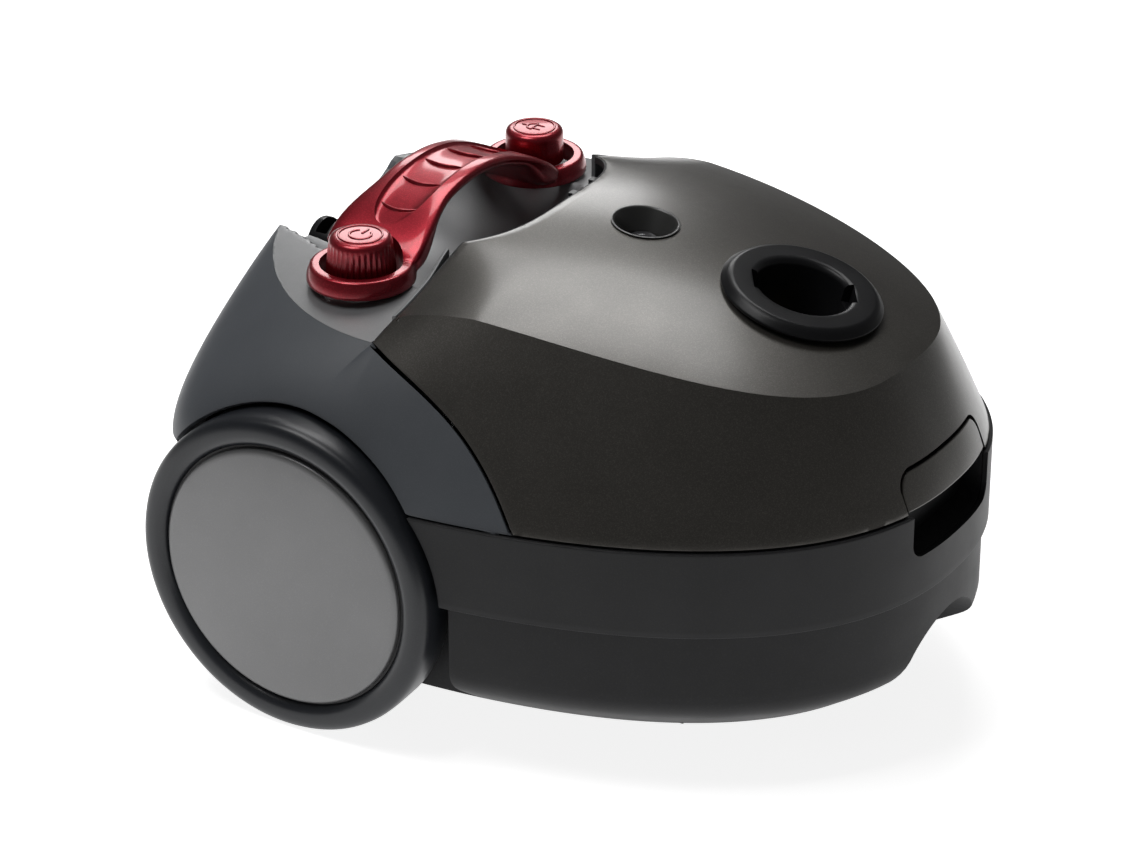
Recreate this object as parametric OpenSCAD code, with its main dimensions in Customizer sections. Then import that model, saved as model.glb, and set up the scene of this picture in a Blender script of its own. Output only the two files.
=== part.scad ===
// Compact canister vacuum cleaner: tub on two big wheels and a caster, hinged dust lid, carry handle.
// +X points to the nose, +Y to the machine's left, +Z up. The floor is z = 0.

/* [Body] */
// Distance from the rear axle to the nose
nose_len = 246; // [242:1:250]
// Distance from the rear axle to the tail
tail_len = 82; // [80:1:84]
// Half of the body's width at the belt line
body_half = 147.3; // [145:0.1:150]
// Height of the belt line, where the lid meets the tub
belt_z = 119; // [118:1:120]
// Height of the tub's underside
tub_z = 20; // [18:1:22]
// Wall thickness of the moulded shells
wall = 2.6; // [2.2:0.1:3]
// Height of the bumper band below the belt line
band_h = 40; // [36:1:44]

/* [Lid and deck] */
// Height of the lid's highest line
crown_z = 209; // [207:1:211]
// Distance from the rear axle to the front of the crown
crown_len = 223; // [220:1:226]
// Half of the crown's width
crown_half = 100; // [98:1:102]
// Height of the deck's middle line behind the lid
deck_z = 186; // [184:1:187]
// Half of the deck's width
deck_half = 110; // [109:1:111]
// Depth of the hand bowl under the handle
bowl_depth = 38; // [34:1:39]
// Radius of the curved joint line between lid and rear shell
joint_r = 133; // [132:0.5:134]
// Gap at the joint lines
joint_gap = 1.4; // [1:0.1:1.6]

/* [Wheels] */
// Radius of the rear wheels
wheel_r = 74; // [72:1:76]
// X of the rear axle
wheel_x = -85; // [-86:1:-84]
// Radius of the wheel arches
arch_r = 76.5; // [76:0.5:78]
// Distance from the middle to the wheel well's inner wall
well_y = 118; // [116:1:120]
// Radius of the axle pins
axle_r = 6; // [5:0.5:7]
// Radius of the caster wheel
caster_r = 19; // [17:1:20]
// X of the caster's swivel axis
caster_x = 112; // [110:1:114]
// How far the caster wheel trails its swivel axis
caster_trail = 13; // [11:1:14]

/* [Hose socket] */
// Radius of the hose socket's hole
socket_r = 20.3; // [19:0.1:21]
// Tilt of the socket towards the nose
socket_tilt = 14.1; // [12:0.1:16]
// Place of the middle of the socket's rim
socket_pos = [85.4, 0, 194];

/* [Controls] */
// Distance from the middle to each knob
knob_y = 71; // [70:1:72]
// X of the knobs
knob_x = -94; // [-95:1:-93]
// Height of the knobs' tops
knob_top = 203; // [202:1:204]
// Travel of the rewind button
button_travel = 4; // [3:0.5:5]

/* [Hidden] */

slack = 0.3;            // gap between fixed neighbours
run_gap = 0.05;         // radial gap of a running fit
round_fn = 64;
axle_z = wheel_r;

// Plan curves: superellipse exponents of the belt and of the crown, front and rear.
belt_front_n = 2.3;
belt_rear_n = 5;
crown_front_n = 2.7;
crown_rear_n = 2.2;
crown_tail = 80;
deck_n = 2.1;
deck_mid_x = -62;       // middle of the deck's oval outline
deck_tail = 101;        // distance from there to the deck's rear edge
deck_round = 0.0009;    // sideways rounding of the deck
crown_x = -45;          // where the crown starts to fall to the nose
crown_fall = 0.002413;  // fall to the nose per unit of distance to its power
crown_power = 1.85;
crown_round = 0.0016;   // sideways rounding of the crown
joint_x = wheel_x - 1;  // middle of the joint line's arc
joint_z = 45;
quarter_steps = 14;

// Heights up the flank, as fractions, and rings across the crown.
flank_levels = [0, 0.25, 0.5, 0.7, 0.85, 0.95, 1];
crown_rings = [0.88, 0.74, 0.6, 0.45, 0.3, 0.15];

band_top = belt_z - 0.4;
lid_base = belt_z + 0.8;
tub_inset = 0.8;
band_proud = 1.8;
bulkhead_x = -22;
pocket_x = 147;
pocket_half = 35;
pocket_low = 98;
recess_r = 40;
recess_top = 60;
hinge_x = -41;
hinge_z = 194;
latch_x = 144;
latch_z = 141;
motor_y = -48;
motor_z = 78;
reel_x = -92;
reel_z = 80;
reel_r = 56;
dish_pos = [7, 0, 205.3];
dish_tilt = 7;
screw_spots = [[-148, 104], [-148, -104], [-70, 109], [-70, -109]];

function signed_pow(v, p) = sign(v) * pow(abs(v), p);

// A point of an oval about the rear axle, with its own length and exponent in front and behind.
function oval_point(t, front, tail, half, n_front, n_rear) =
    let (c = cos(t), s = sin(t), ahead = c > 0, n = ahead ? n_front : n_rear)
    [wheel_x + (ahead ? front : tail) * signed_pow(c, 2 / n), half * signed_pow(s, 2 / n)];

function belt_point(t, inset) = oval_point(t, nose_len - inset, tail_len - inset, body_half - inset,
                                           belt_front_n, belt_rear_n);
function crown_point(t, inset) = oval_point(t, crown_len - inset, crown_tail - inset,
                                            crown_half - inset, crown_front_n, crown_rear_n);
// Angles round the plan, a little closer together at the sides and at both ends.
function quarter(u) = 45 * (u + ease(u));
function plan_angles() = [for (q = [0 : 3], i = [0 : quarter_steps - 1]) 90 * q + quarter(i / quarter_steps)];

function ease(u) = let (v = min(1, max(0, u))) v * v * (3 - 2 * v);

// Height of the lid's crown.
function top_height(x, y) = crown_z - crown_fall * pow(max(0, x - crown_x), crown_power)
    - crown_round * y * y;

// Height of the deck before the bowl is scooped out, with its rise to the lid in the middle.
function deck_base(x, y) = deck_z - deck_round * y * y
    + 15 * ease((x + 85) / 35) * (1 - ease((abs(y) - 30) / 35));

// Where the flank ends: at the deck's outline behind the lid, at the crown's outline elsewhere.
function deck_point(t, inset) =
    [deck_mid_x + (deck_tail - inset) * signed_pow(cos(t), 2 / deck_n),
     (deck_half - inset) * signed_pow(sin(t), 2 / deck_n)];
function crease_point(t, inset, rear) =
    let (by_deck = rear && t > 89 && t < 271, p = by_deck ? deck_point(t, inset) : crown_point(t, inset))
    [p[0], p[1], (by_deck ? deck_height(p[0], p[1]) : top_height(p[0], p[1])) - inset];

// The flank is nearly straight by the lid and bulges a little over the wheels and round the tail.
function flank_power(x) = 1.1 + exp(-pow((x - wheel_x) / (x > wheel_x ? 50 : 120), 2));

function flank_point(t, h, inset, base, rear) =
    let (low = belt_point(t, inset), high = crease_point(t, inset, rear),
         g = pow(h, flank_power(low[0])))
    [low[0] * (1 - g) + high[0] * g, low[1] * (1 - g) + high[1] * g, base + (high[2] - base) * h];

function crown_ring_point(t, s, inset) =
    let (edge = crown_point(t, inset), x = wheel_x + s * (edge[0] - wheel_x), y = s * edge[1])
    [x, y, top_height(x, y) - inset];

// X of the lid's rear edge across the crown.
function lid_rear_x(y) = max(-51 - 5 * pow(max(0, abs(y) - 50) / 50, 2.2),
                             -90 + 59 * pow(1 - pow(min(1, abs(y) / 62), 3), 1 / 3));

// The hand bowl: a scoop that is steep at the lid and runs out to the rear.
function scoop_depth(x) = x > -90 ? bowl_depth : bowl_depth - 16 * ease((-90 - x) / 75);
function scoop_half(x) = x > -90 ? 66 : 66 - 22 * ease((-90 - x) / 75);
function scoop_ratio(x, y) = pow(pow(max(0, x + 90) / 58.5, 3) + pow(abs(y) / scoop_half(x), 3), 1 / 3);
function scoop(x, y) = scoop_depth(x) * pow(max(0, 1 - pow(scoop_ratio(x, y), 2.5)), 0.8);
function deck_height(x, y) = deck_base(x, y) - scoop(x, y);

// Closed solid through rings of equal length, bottom first; the last ring closes on an apex.
module loft(rings, apex) {
    n = len(rings[0]);
    m = len(rings);
    points = concat([for (ring = rings) each ring], [apex]);
    sides = [for (i = [0 : m - 2], j = [0 : n - 1], half = [0, 1])
        let (a = i * n + j, b = i * n + (j + 1) % n) half == 0 ? [a, a + n, b + n] : [a, b + n, b]];
    cap = [for (j = [0 : n - 1]) [(m - 1) * n + j, m * n, (m - 1) * n + (j + 1) % n]];
    polyhedron(points, concat([[for (j = [0 : n - 1]) j]], sides, cap));
}

// Body above the belt line, shrunk by inset: the lid's with its crown, or the rear shell's.
module upper_body(inset, base, rear = false) {
    skirt = inset > 0 ? [[for (t = plan_angles())
        let (p = belt_point(t, inset)) [p[0], p[1], base - 2]]] : [];
    flank = [for (h = flank_levels) [for (t = plan_angles()) flank_point(t, h, inset, base, rear)]];
    crown = rear ? [] : [for (s = crown_rings) [for (t = plan_angles()) crown_ring_point(t, s, inset)]];
    loft(concat(skirt, flank, crown), [wheel_x, 0, top_height(wheel_x, 0) - inset]);
}

// Tub below the belt line with its rounded bottom edge: [height above the bottom, inset] per ring.
module tub_body(inset, floor_z, top_z) {
    rounding = [[0, 27.5], [1.5, 25], [6, 18.8], [12, 10.6], [17, 4.6], [21, 1.6], [26, 0]];
    low = [for (r = rounding) [for (t = plan_angles())
        let (p = belt_point(t, inset + r[1])) [p[0], p[1], floor_z + r[0]]]];
    high = [[for (t = plan_angles()) let (p = belt_point(t, inset)) [p[0], p[1], top_z]]];
    loft(concat(low, high), [wheel_x, 0, top_z]);
}

module along_y(x, y, z, r, length, fn = round_fn) {
    translate([x, y, z]) rotate([-90, 0, 0]) cylinder(h = length, r = r, $fn = fn);
}

module along_x(x, y, z, r, length, fn = round_fn) {
    translate([x, y, z]) rotate([0, 90, 0]) cylinder(h = length, r = r, $fn = fn);
}

module box(low, high) {
    translate(low) cube(high - low);
}

module both_sides() {
    children();
    mirror([0, 1, 0]) children();
}

// Space of both wheels below the belt and above it; grow thickens it for the liner.
module tub_wells(grow) {
    both_sides() {
        along_y(wheel_x, well_y - grow, axle_z, arch_r + 3.5 + grow, 60);
        box([wheel_x - arch_r - 14, well_y - grow, -5], [wheel_x + arch_r + 3.5 + grow, well_y + 60, axle_z]);
    }
}

module wheel_arches(grow) {
    both_sides() along_y(wheel_x, well_y - grow, axle_z, arch_r + grow, 60, 96);
}

module caster_recess(grow) {
    translate([caster_x, 0, -5]) cylinder(h = recess_top + 5 + grow, r = recess_r + grow, $fn = round_fn);
    along_x(caster_x, 0, recess_top - recess_r + 1, recess_r - 1 + grow, 70);
    box([caster_x, -recess_r + 1 - grow, -5],
        [caster_x + 70, recess_r - 1 + grow, recess_top - recess_r + 1]);
}

module latch_pocket(grow) {
    box([pocket_x - grow, -pocket_half - grow, pocket_low - grow],
        [pocket_x + 40, pocket_half + grow, belt_z + 20]);
}

module rear_openings() {
    box([-175, -50, 48], [-155, 50, 106]);
    along_x(-175, 68, 60, 9.3, 20);
}

module tub() {
    color([0.07, 0.07, 0.075]) {
        difference() {
            tub_body(tub_inset, tub_z, belt_z);
            tub_wells(0);
            caster_recess(0);
            latch_pocket(0);
            rear_openings();
            difference() {
                tub_body(tub_inset + wall, tub_z + wall, belt_z + 5);
                tub_wells(wall);
                caster_recess(wall);
                latch_pocket(wall - 0.4);
                box([bulkhead_x, -145, 0], [bulkhead_x + wall, 145, belt_z + 6]);
                for (spot = screw_spots) {
                    translate([spot[0], spot[1], tub_z]) cylinder(h = 200, r = 6.5, $fn = round_fn);
                }
                both_sides() along_y(wheel_x, well_y - 24, axle_z, 12, 30);
                translate([caster_x, 0, recess_top]) cylinder(h = 20, r = 11, $fn = round_fn);
                both_sides() box([66, 88, tub_z], [82, 99, 100]);
            }
            along_x(bulkhead_x - 5, motor_y, motor_z, 24, 12);
            both_sides() along_y(wheel_x, well_y - 30, axle_z, axle_r + 0.02, 40);
            translate([caster_x, 0, recess_top - 5]) cylinder(h = 40, r = 6 + run_gap, $fn = round_fn);
            for (spot = screw_spots) translate([spot[0], spot[1], 0]) {
                cylinder(h = 100, r = 4.6, $fn = round_fn);
                cylinder(h = 140, r = 2.1, $fn = round_fn);
            }
        }
        bulkhead_top();
        catch_bar();
        motor_cradle();
    }
}

// Upper part of the wall between dust chamber and motor room.
module bulkhead_top() {
    shape = [[-114, 0], [114, 0], [112, 24], [95, 48], [84, 64], [48, 71], [-48, 71], [-84, 64],
             [-95, 48], [-112, 24]];
    translate([bulkhead_x, 0, belt_z - 0.01]) rotate([90, 0, 90]) linear_extrude(wall) polygon(shape);
}

// Bar under which the latch hook catches, on two cheeks from the pocket's back wall.
module catch_bar() {
    box([130, -14, 112], [135.2, 14, 116]);
    both_sides() box([130, 12, 106], [pocket_x - 2.1, 14.5, belt_z - 1]);
}

module motor_cradle() {
    difference() {
        box([-144.5, motor_y - 30, tub_z + 1], [-141, motor_y + 30, motor_z + 28]);
        along_x(-150, motor_y, motor_z, 12, 12);
    }
}

module bumper_band() {
    color([0.08, 0.08, 0.085]) difference() {
        translate([0, 0, belt_z - band_h]) linear_extrude(band_top - belt_z + band_h) difference() {
            polygon([for (t = plan_angles()) belt_point(t, -band_proud)]);
            polygon([for (t = plan_angles()) belt_point(t, tub_inset - 0.1)]);
        }
        box([-200, -200, 0], [wheel_x, 200, 200]);
        along_y(wheel_x, -200, axle_z, arch_r, 400, 96);
        latch_pocket(0);
    }
}

// Everything behind the lid: inside the joint line's arc at the flank, behind its rear edge above.
module behind_joint() {
    along_y(joint_x, -200, joint_z, joint_r, 400, 96);
    translate([0, 200, 0]) rotate([90, 0, 0]) linear_extrude(400) {
        polygon([[-80, 150], [-80, 176.9], [-60, 176.4], [-47, 174.6],
                 [-36, 169.9], [-24, 162.7], [-20, 150]]);
    }
    translate([0, 0, 150]) linear_extrude(80) polygon(concat([[-220, -160]],
        [for (y = [-160 : 4 : 160]) [lid_rear_x(y), y]], [[-220, 160]]));
}

// Room for the lid's lower rear corners as they swing down.
module lid_corner_room() {
    room = [[-59, 172.7], [-54, 171.1], [-50, 170.2], [-44, 169], [-40, 168.7], [-40, 180], [-59, 180]];
    for (y = [-112, 132]) translate([0, y, 0]) rotate([90, 0, 0]) linear_extrude(20) polygon(room);
}

module screw_holes(r, length) {
    for (spot = screw_spots) translate([spot[0], spot[1], 100]) cylinder(h = length, r = r, $fn = round_fn);
}

module rear_shell() {
    color([0.16, 0.17, 0.19]) {
        difference() {
            intersection() {
                upper_body(0, belt_z + 0.3, true);
                union() {
                    along_y(joint_x, -200, joint_z, joint_r - joint_gap, 400, 96);
                    box([-220, -200, 100], [joint_x, 200, 220]);
                }
            }
            difference() {
                upper_body(wall, belt_z + 0.3, true);
                wheel_arches(wall);
                screw_holes(5, 90);
            }
            wheel_arches(0);
            translate([0, 0, 120]) linear_extrude(120) polygon(concat([[-40, -deck_half + 1.2]],
                [for (t = plan_angles()) if (t > 89 && t < 271) deck_point(360 - t, 0.2)],
                [[-40, deck_half - 1.2]]));
            box([-175, -13.5, 133.5], [-150, 13.5, 220]);
            screw_holes(1.92, 34);
            lid_corner_room();
        }
    }
}

// Deck and hand bowl in one moulding, as rows of points from the right side to the left.
deck_rows = 24;
deck_columns = 18;
function deck_row_y(i) = (deck_half - 1.4) * sin(-90 + 180 * i / deck_rows);
function deck_front(y) = lid_rear_x(y) - joint_gap;
function deck_rear(y) =
    deck_mid_x - (deck_tail - 0.6) * pow(1 - pow(abs(y) / (deck_half - 0.6), deck_n), 1 / deck_n);
function deck_x_at(y, j) = deck_rear(y) + (deck_front(y) - deck_rear(y)) * j / deck_columns;
function deck_grid(drop) = [for (i = [0 : deck_rows], j = [0 : deck_columns])
    let (y = deck_row_y(i), x = deck_x_at(y, j)) [x, y, deck_height(x, y) - drop]];

module deck_solid(thickness) {
    rows = deck_rows + 1;
    cols = deck_columns + 1;
    count = rows * cols;
    points = concat(deck_grid(0), deck_grid(thickness));
    top = [for (i = [0 : rows - 2], j = [0 : cols - 2], half = [0, 1])
        let (a = i * cols + j, b = a + cols) half == 0 ? [a, b, b + 1] : [a, b + 1, a + 1]];
    bottom = [for (f = top) [f[2] + count, f[1] + count, f[0] + count]];
    rim = concat([for (j = [0 : cols - 2]) j], [for (i = [0 : rows - 2]) i * cols + cols - 1],
                 [for (j = [cols - 1 : -1 : 1]) (rows - 1) * cols + j],
                 [for (i = [rows - 1 : -1 : 1]) i * cols]);
    edge = [for (k = [0 : len(rim) - 1], half = [0, 1]) let (a = rim[k], b = rim[(k + 1) % len(rim)])
        half == 0 ? [a, b, b + count] : [a, b + count, a + count]];
    polyhedron(points, concat(top, bottom, edge));
}

module deck_boss(x, y, low) {
    translate([x, y, low]) cylinder(h = deck_height(x, y) - 1.5 - low, r = 5, $fn = round_fn);
}

handle_screw_spots = [[knob_x - 22, knob_y], [knob_x + 22, knob_y], [knob_x - 22, -knob_y],
                      [knob_x + 22, -knob_y]];

module grip_deck() {
    color([0.30, 0.31, 0.32]) difference() {
        union() {
            deck_solid(wall);
            for (spot = handle_screw_spots) deck_boss(spot[0], spot[1], 170);
        }
        for (spot = handle_screw_spots) {
            translate([spot[0], spot[1], 150]) cylinder(h = 60, r = 1.7, $fn = round_fn);
        }
        both_sides() translate([knob_x, knob_y, 150]) cylinder(h = 60, r = 6.3, $fn = round_fn);
        both_sides() box([-52, 26, 186], [-20, 48, 220]);
        box([-175, -13.5, 130], [-150, 13.5, 220]);
    }
}

module hinge_brackets() {
    color([0.06, 0.06, 0.065]) both_sides() difference() {
        union() {
            box([-48.4, 26.4, 186.4], [-35, 30.4, 196.9]);
            box([-48.4, 43.6, 186.4], [-35, 47.6, 196.9]);
            box([-48.4, 30, 186.4], [-46.4, 44, 192]);
        }
        along_y(hinge_x, 20, hinge_z, 2.02, 40);
    }
}

module hinge_pins() {
    color([0.7, 0.7, 0.72]) both_sides() along_y(hinge_x, 27, hinge_z, 2, 20);
}

module latch_opening(grow, top) {
    translate([120, 0, 0]) rotate([90, 0, 90]) linear_extrude(60) union() {
        translate([-36.5 - grow, 100]) square([73 + 2 * grow, top - 109.5]);
        translate([-27 - grow, 100]) square([54 + 2 * grow, top - 100]);
        for (y = [-27, 27]) translate([y, top - 9.5 - grow]) circle(r = 9.5 + grow, $fn = round_fn);
    }
}

module socket_frame() {
    translate(socket_pos) rotate([0, socket_tilt, 0]) children();
}

module dish_frame() {
    translate(dish_pos) rotate([0, dish_tilt, 0]) children();
}

module dust_lid() {
    color([0.22, 0.215, 0.205]) {
        difference() {
            upper_body(0, lid_base);
            upper_body(wall, lid_base);
            behind_joint();
            socket_frame() translate([0, 0, -60]) cylinder(h = 100, r = 27, $fn = round_fn);
            dish_frame() translate([0, 0, -30]) cylinder(h = 60, r = 14.2, $fn = round_fn);
            latch_opening(0, 137.5);
        }
        lid_hinge_arms();
        latch_ears();
        socket_flange();
    }
}

// Two arms reach back from the lid to the hinge pins.
module lid_hinge_arms() {
    both_sides() difference() {
        union() {
            along_y(hinge_x, 31, hinge_z, 5, 12);
            box([hinge_x, 31, hinge_z - 5], [-24, 43, hinge_z + 3]);
            box([-29, 31, hinge_z], [-24, 43, 204.5]);
        }
        along_y(hinge_x, 20, hinge_z, 2 + run_gap, 40);
    }
}

// Ears for the latch pin and the rib that the latch spring leans on.
module latch_ears() {
    difference() {
        both_sides() box([138, 12, 137.5], [147.8, 14.5, 147]);
        along_y(latch_x, -30, latch_z, 1.52, 60);
    }
    box([126, -14.5, 143], [128.6, 14.5, 174]);
    both_sides() box([126, 12, 143], [140, 14.5, 147]);
}

// Collar under the crown that holds the hose socket.
module socket_flange() {
    socket_frame() translate([0, 0, -14]) difference() {
        cylinder(h = 8.5, r = 30, $fn = round_fn);
        translate([0, 0, -1]) cylinder(h = 12, r = 24.2, $fn = round_fn);
    }
}

module lid_gasket() {
    color([0.10, 0.10, 0.10]) translate([0, 0, belt_z + 0.05]) linear_extrude(1.8) difference() {
        polygon([for (t = plan_angles()) belt_point(t, wall + 0.5)]);
        polygon([for (t = plan_angles()) belt_point(t, wall + 2.5)]);
        translate([-400, -200]) square([424.5, 400]);
        translate([120, -pocket_half - wall]) square([60, 2 * pocket_half + 2 * wall]);
    }
}

module latch_button() {
    color([0.25, 0.245, 0.235]) difference() {
        union() {
            intersection() {
                difference() {
                    upper_body(0.2, lid_base);
                    upper_body(3, lid_base);
                }
                latch_opening(-0.7, 136.1);
                box([120, -60, belt_z + 1.4], [180, 60, 160]);
            }
            box([136, -11, 108], [139.5, 11, 152]);
            box([135.5, -11, 108], [139.5, 11, 111.6]);
            box([139, -11, 122], [157.8, 11, 126]);
            box([139, -11, 137.5], [latch_x + 1.9, 11, 143.2]);
        }
        along_y(latch_x, -30, latch_z, 1.5 + run_gap, 60);
    }
}

module latch_pin() {
    color([0.7, 0.7, 0.72]) along_y(latch_x, -14.4, latch_z, 1.5, 28.8);
}

module latch_spring() {
    color([0.6, 0.6, 0.62]) difference() {
        along_x(128.7, 0, 149, 2.8, 7.2);
        along_x(128, 0, 149, 2, 9);
    }
}

module hose_socket() {
    profile = [[socket_r, -34], [23.8, -34], [23.8, -4.6], [35.8, -4.6], [35.8, -3.6], [32.6, -0.3],
               [31.8, 0], [21, 0], [socket_r, -0.7]];
    color([0.06, 0.06, 0.065]) socket_frame() difference() {
        rotate_extrude($fn = 96) polygon(profile);
        for (turn = [35, 215]) rotate([0, 0, turn]) box([10, -7, -9], [22.6, 7, 1]);
    }
}

module hose_seal() {
    profile = [[18.5, -38], [23.8, -38], [23.8, -34.1], [22, -34.1], [19.4, -35.4], [18.5, -36.6]];
    color([0.12, 0.12, 0.12]) socket_frame() rotate_extrude($fn = 96) polygon(profile);
}

module indicator_dish() {
    profile = [[8.2, -16], [9.7, -16], [9.7, -7.5], [13.9, -2.2], [13.9, 0], [15.4, 0.3], [15.4, 0.9],
               [13.6, 0.6], [8.2, -7]];
    color([0.09, 0.09, 0.09]) dish_frame() rotate_extrude($fn = round_fn) polygon(profile);
}

module indicator_lens() {
    color([0.2, 0.2, 0.2, 0.6]) dish_frame() translate([0, 0, -12.4]) difference() {
        cylinder(h = 5.4, r = 8.1, $fn = round_fn);
        translate([0, 0, -1]) cylinder(h = 5.4, r = 6.6, $fn = round_fn);
    }
}

module indicator_piston() {
    color([0.75, 0.1, 0.08]) dish_frame() translate([0, 0, -28]) difference() {
        cylinder(h = 10, r = 6.4, $fn = round_fn);
        translate([0, 0, -1]) cylinder(h = 8, r = 4.9, $fn = round_fn);
    }
}

module indicator_spring() {
    color([0.6, 0.6, 0.62]) dish_frame() translate([0, 0, -38]) difference() {
        cylinder(h = 16.8, r = 4.2, $fn = round_fn);
        translate([0, 0, -1]) cylinder(h = 20, r = 3.4, $fn = round_fn);
    }
}

// The strap's arch, seen from the nose: height of its upper face at y.
function strap_top(y) = 188 + 25 * pow(cos(90 * min(1, abs(y) / 60)), 0.65);
strap_thick = 7.5;
strap_x = knob_x - 3;

module strap() {
    stations = [for (y = [-56 : 7 : 56]) y];
    arch = concat([for (y = stations) [y, strap_top(y)]],
                  [for (i = [len(stations) - 1 : -1 : 0])
                      [stations[i], strap_top(stations[i]) - strap_thick]]);
    side = [[18, 0], [18.4, 20], [20, 36], [23, 57], [-23, 57], [-20, 36], [-18.4, 20], [-18, 0]];
    intersection() {
        translate([strap_x - 30, 0, 0]) rotate([90, 0, 90]) linear_extrude(60) polygon(arch);
        translate([strap_x, 0, 150]) linear_extrude(80) {
            polygon(side);
            mirror([0, 1]) polygon(side);
        }
    }
}

module carry_handle() {
    color([0.42, 0.03, 0.06]) difference() {
        union() {
            strap();
            both_sides() translate([knob_x, knob_y, 170]) {
                rotate_extrude($fn = round_fn)
                    polygon([[0, 0], [26.5, 0], [26.5, 12.5], [21.5, 18.5], [0, 18.5]]);
            }
        }
        both_sides() translate([knob_x, knob_y, 160]) cylinder(h = 60, r = 17.2, $fn = round_fn);
        both_sides() translate([0, knob_y, deck_z - deck_round * knob_y * knob_y + slack]) {
            rotate([-atan(2 * deck_round * knob_y), 0, 0]) box([-140, -40, -30], [-50, 40, 0]);
        }
        for (spot = handle_screw_spots) {
            translate([spot[0], spot[1], 165]) cylinder(h = 21, r = 1.32, $fn = round_fn);
        }
    }
}

module handle_screws() {
    color([0.6, 0.6, 0.62]) for (spot = handle_screw_spots) translate([spot[0], spot[1], 167.4]) {
        cylinder(h = 2.5, r = 3, $fn = round_fn);
        cylinder(h = 18, r = 1.3, $fn = round_fn);
    }
}

module ribs(count, r, size, low, high) {
    for (i = [0 : count - 1]) rotate([0, 0, 360 * i / count]) {
        box([r, -size / 2, low], [r + size, size / 2, high]);
    }
}

module power_knob() {
    profile = [[0, 4], [3.1, 4], [3.1, 14], [11.6, 14], [14.2, 1], [15.4, 1],
               [13.9, 16], [12.4, 18.5], [0, 18.5]];
    color([0.42, 0.03, 0.06]) translate([knob_x, -knob_y, knob_top - 18.5]) difference() {
        union() {
            rotate_extrude($fn = round_fn) polygon([for (p = profile) [max(p[0], 0), p[1]]]);
            cylinder(h = 15, r = 5, $fn = round_fn);
        }
        translate([0, 0, -1]) cylinder(h = 14, r = 3.02, $fn = round_fn);
        ribs(36, 15.1, 1, 1, 13);
    }
}

module speed_control() {
    color([0.2, 0.3, 0.5]) translate([knob_x, -knob_y, 0]) {
        box([-8, -8, 148.1], [8, 8, 158]);
        translate([0, 0, 157]) cylinder(h = 39, r = 3, $fn = round_fn);
    }
}

module control_board() {
    color([0.1, 0.35, 0.15]) box([-124, -98, 146], [-62, -57, 148]);
}

module rewind_button() {
    color([0.42, 0.03, 0.06]) translate([knob_x, knob_y, 0]) {
        difference() {
            translate([0, 0, 187.4]) cylinder(h = 15.6, r = 13.4, $fn = round_fn);
            translate([0, 0, 187]) cylinder(h = 13, r = 11.6, $fn = round_fn);
        }
        translate([0, 0, lever_z + 6.3]) cylinder(h = 194 - lever_z, r = 5.6, $fn = round_fn);
    }
}

module rewind_spring() {
    color([0.6, 0.6, 0.62]) translate([knob_x, knob_y, 184.4]) difference() {
        cylinder(h = 15.4, r = 8.4, $fn = round_fn);
        translate([0, 0, -1]) cylinder(h = 20, r = 7.2, $fn = round_fn);
    }
}

lever_x = -116;
lever_z = 144;

// Rocker that lifts its shoe off the reel's rim when the button pushes it down.
module brake_lever() {
    outline = [[30, 2.5], [30, 6], [0, 6], [-6, 3], [-22, -14], [-26, -26], [-20.5, -29.5], [-17, -20],
               [-2, -5], [4, -4], [14, 1.5]];
    color([0.85, 0.8, 0.7]) translate([lever_x, 76, lever_z]) rotate([90, 0, 0]) difference() {
        linear_extrude(10) polygon(outline);
        translate([0, 0, -1]) cylinder(h = 12, r = 2.5 + run_gap, $fn = round_fn);
    }
}

module cable_reel() {
    color([0.15, 0.15, 0.16]) difference() {
        union() {
            along_y(reel_x, 26, reel_z, reel_r, 2.4);
            along_y(reel_x, 72, reel_z, reel_r, 2.4);
            along_y(reel_x, 26, reel_z, 28, 48);
        }
        along_y(reel_x, 29, reel_z, 25, 42);
        along_y(reel_x, 0, reel_z, 5 + run_gap, 100);
        for (turn = [0 : 60 : 300]) translate([reel_x, 0, reel_z]) rotate([0, turn, 0]) {
            along_y(42, 20, 0, 8, 60);
        }
    }
}

module reel_axle() {
    color([0.7, 0.7, 0.72]) along_y(reel_x, 20, reel_z, 5, 70.6);
}

module reel_frame() {
    color([0.12, 0.12, 0.13]) {
        difference() {
            box([-130, 88, tub_z + wall + 0.2], [-44, 91, lever_z + 6]);
            along_y(reel_x, 80, reel_z, 5.02, 20);
        }
        along_y(lever_x, 65, lever_z, 2.5, 24);
    }
}

module reel_spring_case() {
    color([0.2, 0.2, 0.21]) difference() {
        along_y(reel_x, 75, reel_z, 38, 11);
        along_y(reel_x, 76.6, reel_z, 35, 8);
        along_y(reel_x, 70, reel_z, 5.02, 20);
    }
}

module cord_gland() {
    color([0.05, 0.05, 0.05]) difference() {
        union() {
            along_x(-165.5, 68, 60, 9, 10);
            along_x(-156.5, 68, 60, 11.5, 2.5);
        }
        along_x(-170, 68, 60, 4.2, 20);
    }
}

module motor_can() {
    color([0.62, 0.63, 0.65]) difference() {
        along_x(-130, motor_y, motor_z, 44, 72);
        along_x(-127, motor_y, motor_z, 42, 66);
        along_x(-140, motor_y, motor_z, 4 + run_gap, 100);
        for (turn = [0 : 45 : 315]) translate([-130, motor_y, motor_z]) rotate([turn, 0, 0]) {
            along_x(-5, 0, 28, 8, 12);
        }
    }
}

module stator_core() {
    color([0.35, 0.3, 0.28]) difference() {
        along_x(-112, motor_y, motor_z, 41.8, 34);
        along_x(-113, motor_y, motor_z, 26, 36);
    }
}

module motor_rotor() {
    color([0.6, 0.45, 0.3]) {
        along_x(-134, motor_y, motor_z, 4, 100);
        along_x(-114, motor_y, motor_z, 25, 38);
        along_x(-122, motor_y, motor_z, 12, 8);
    }
}

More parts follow.
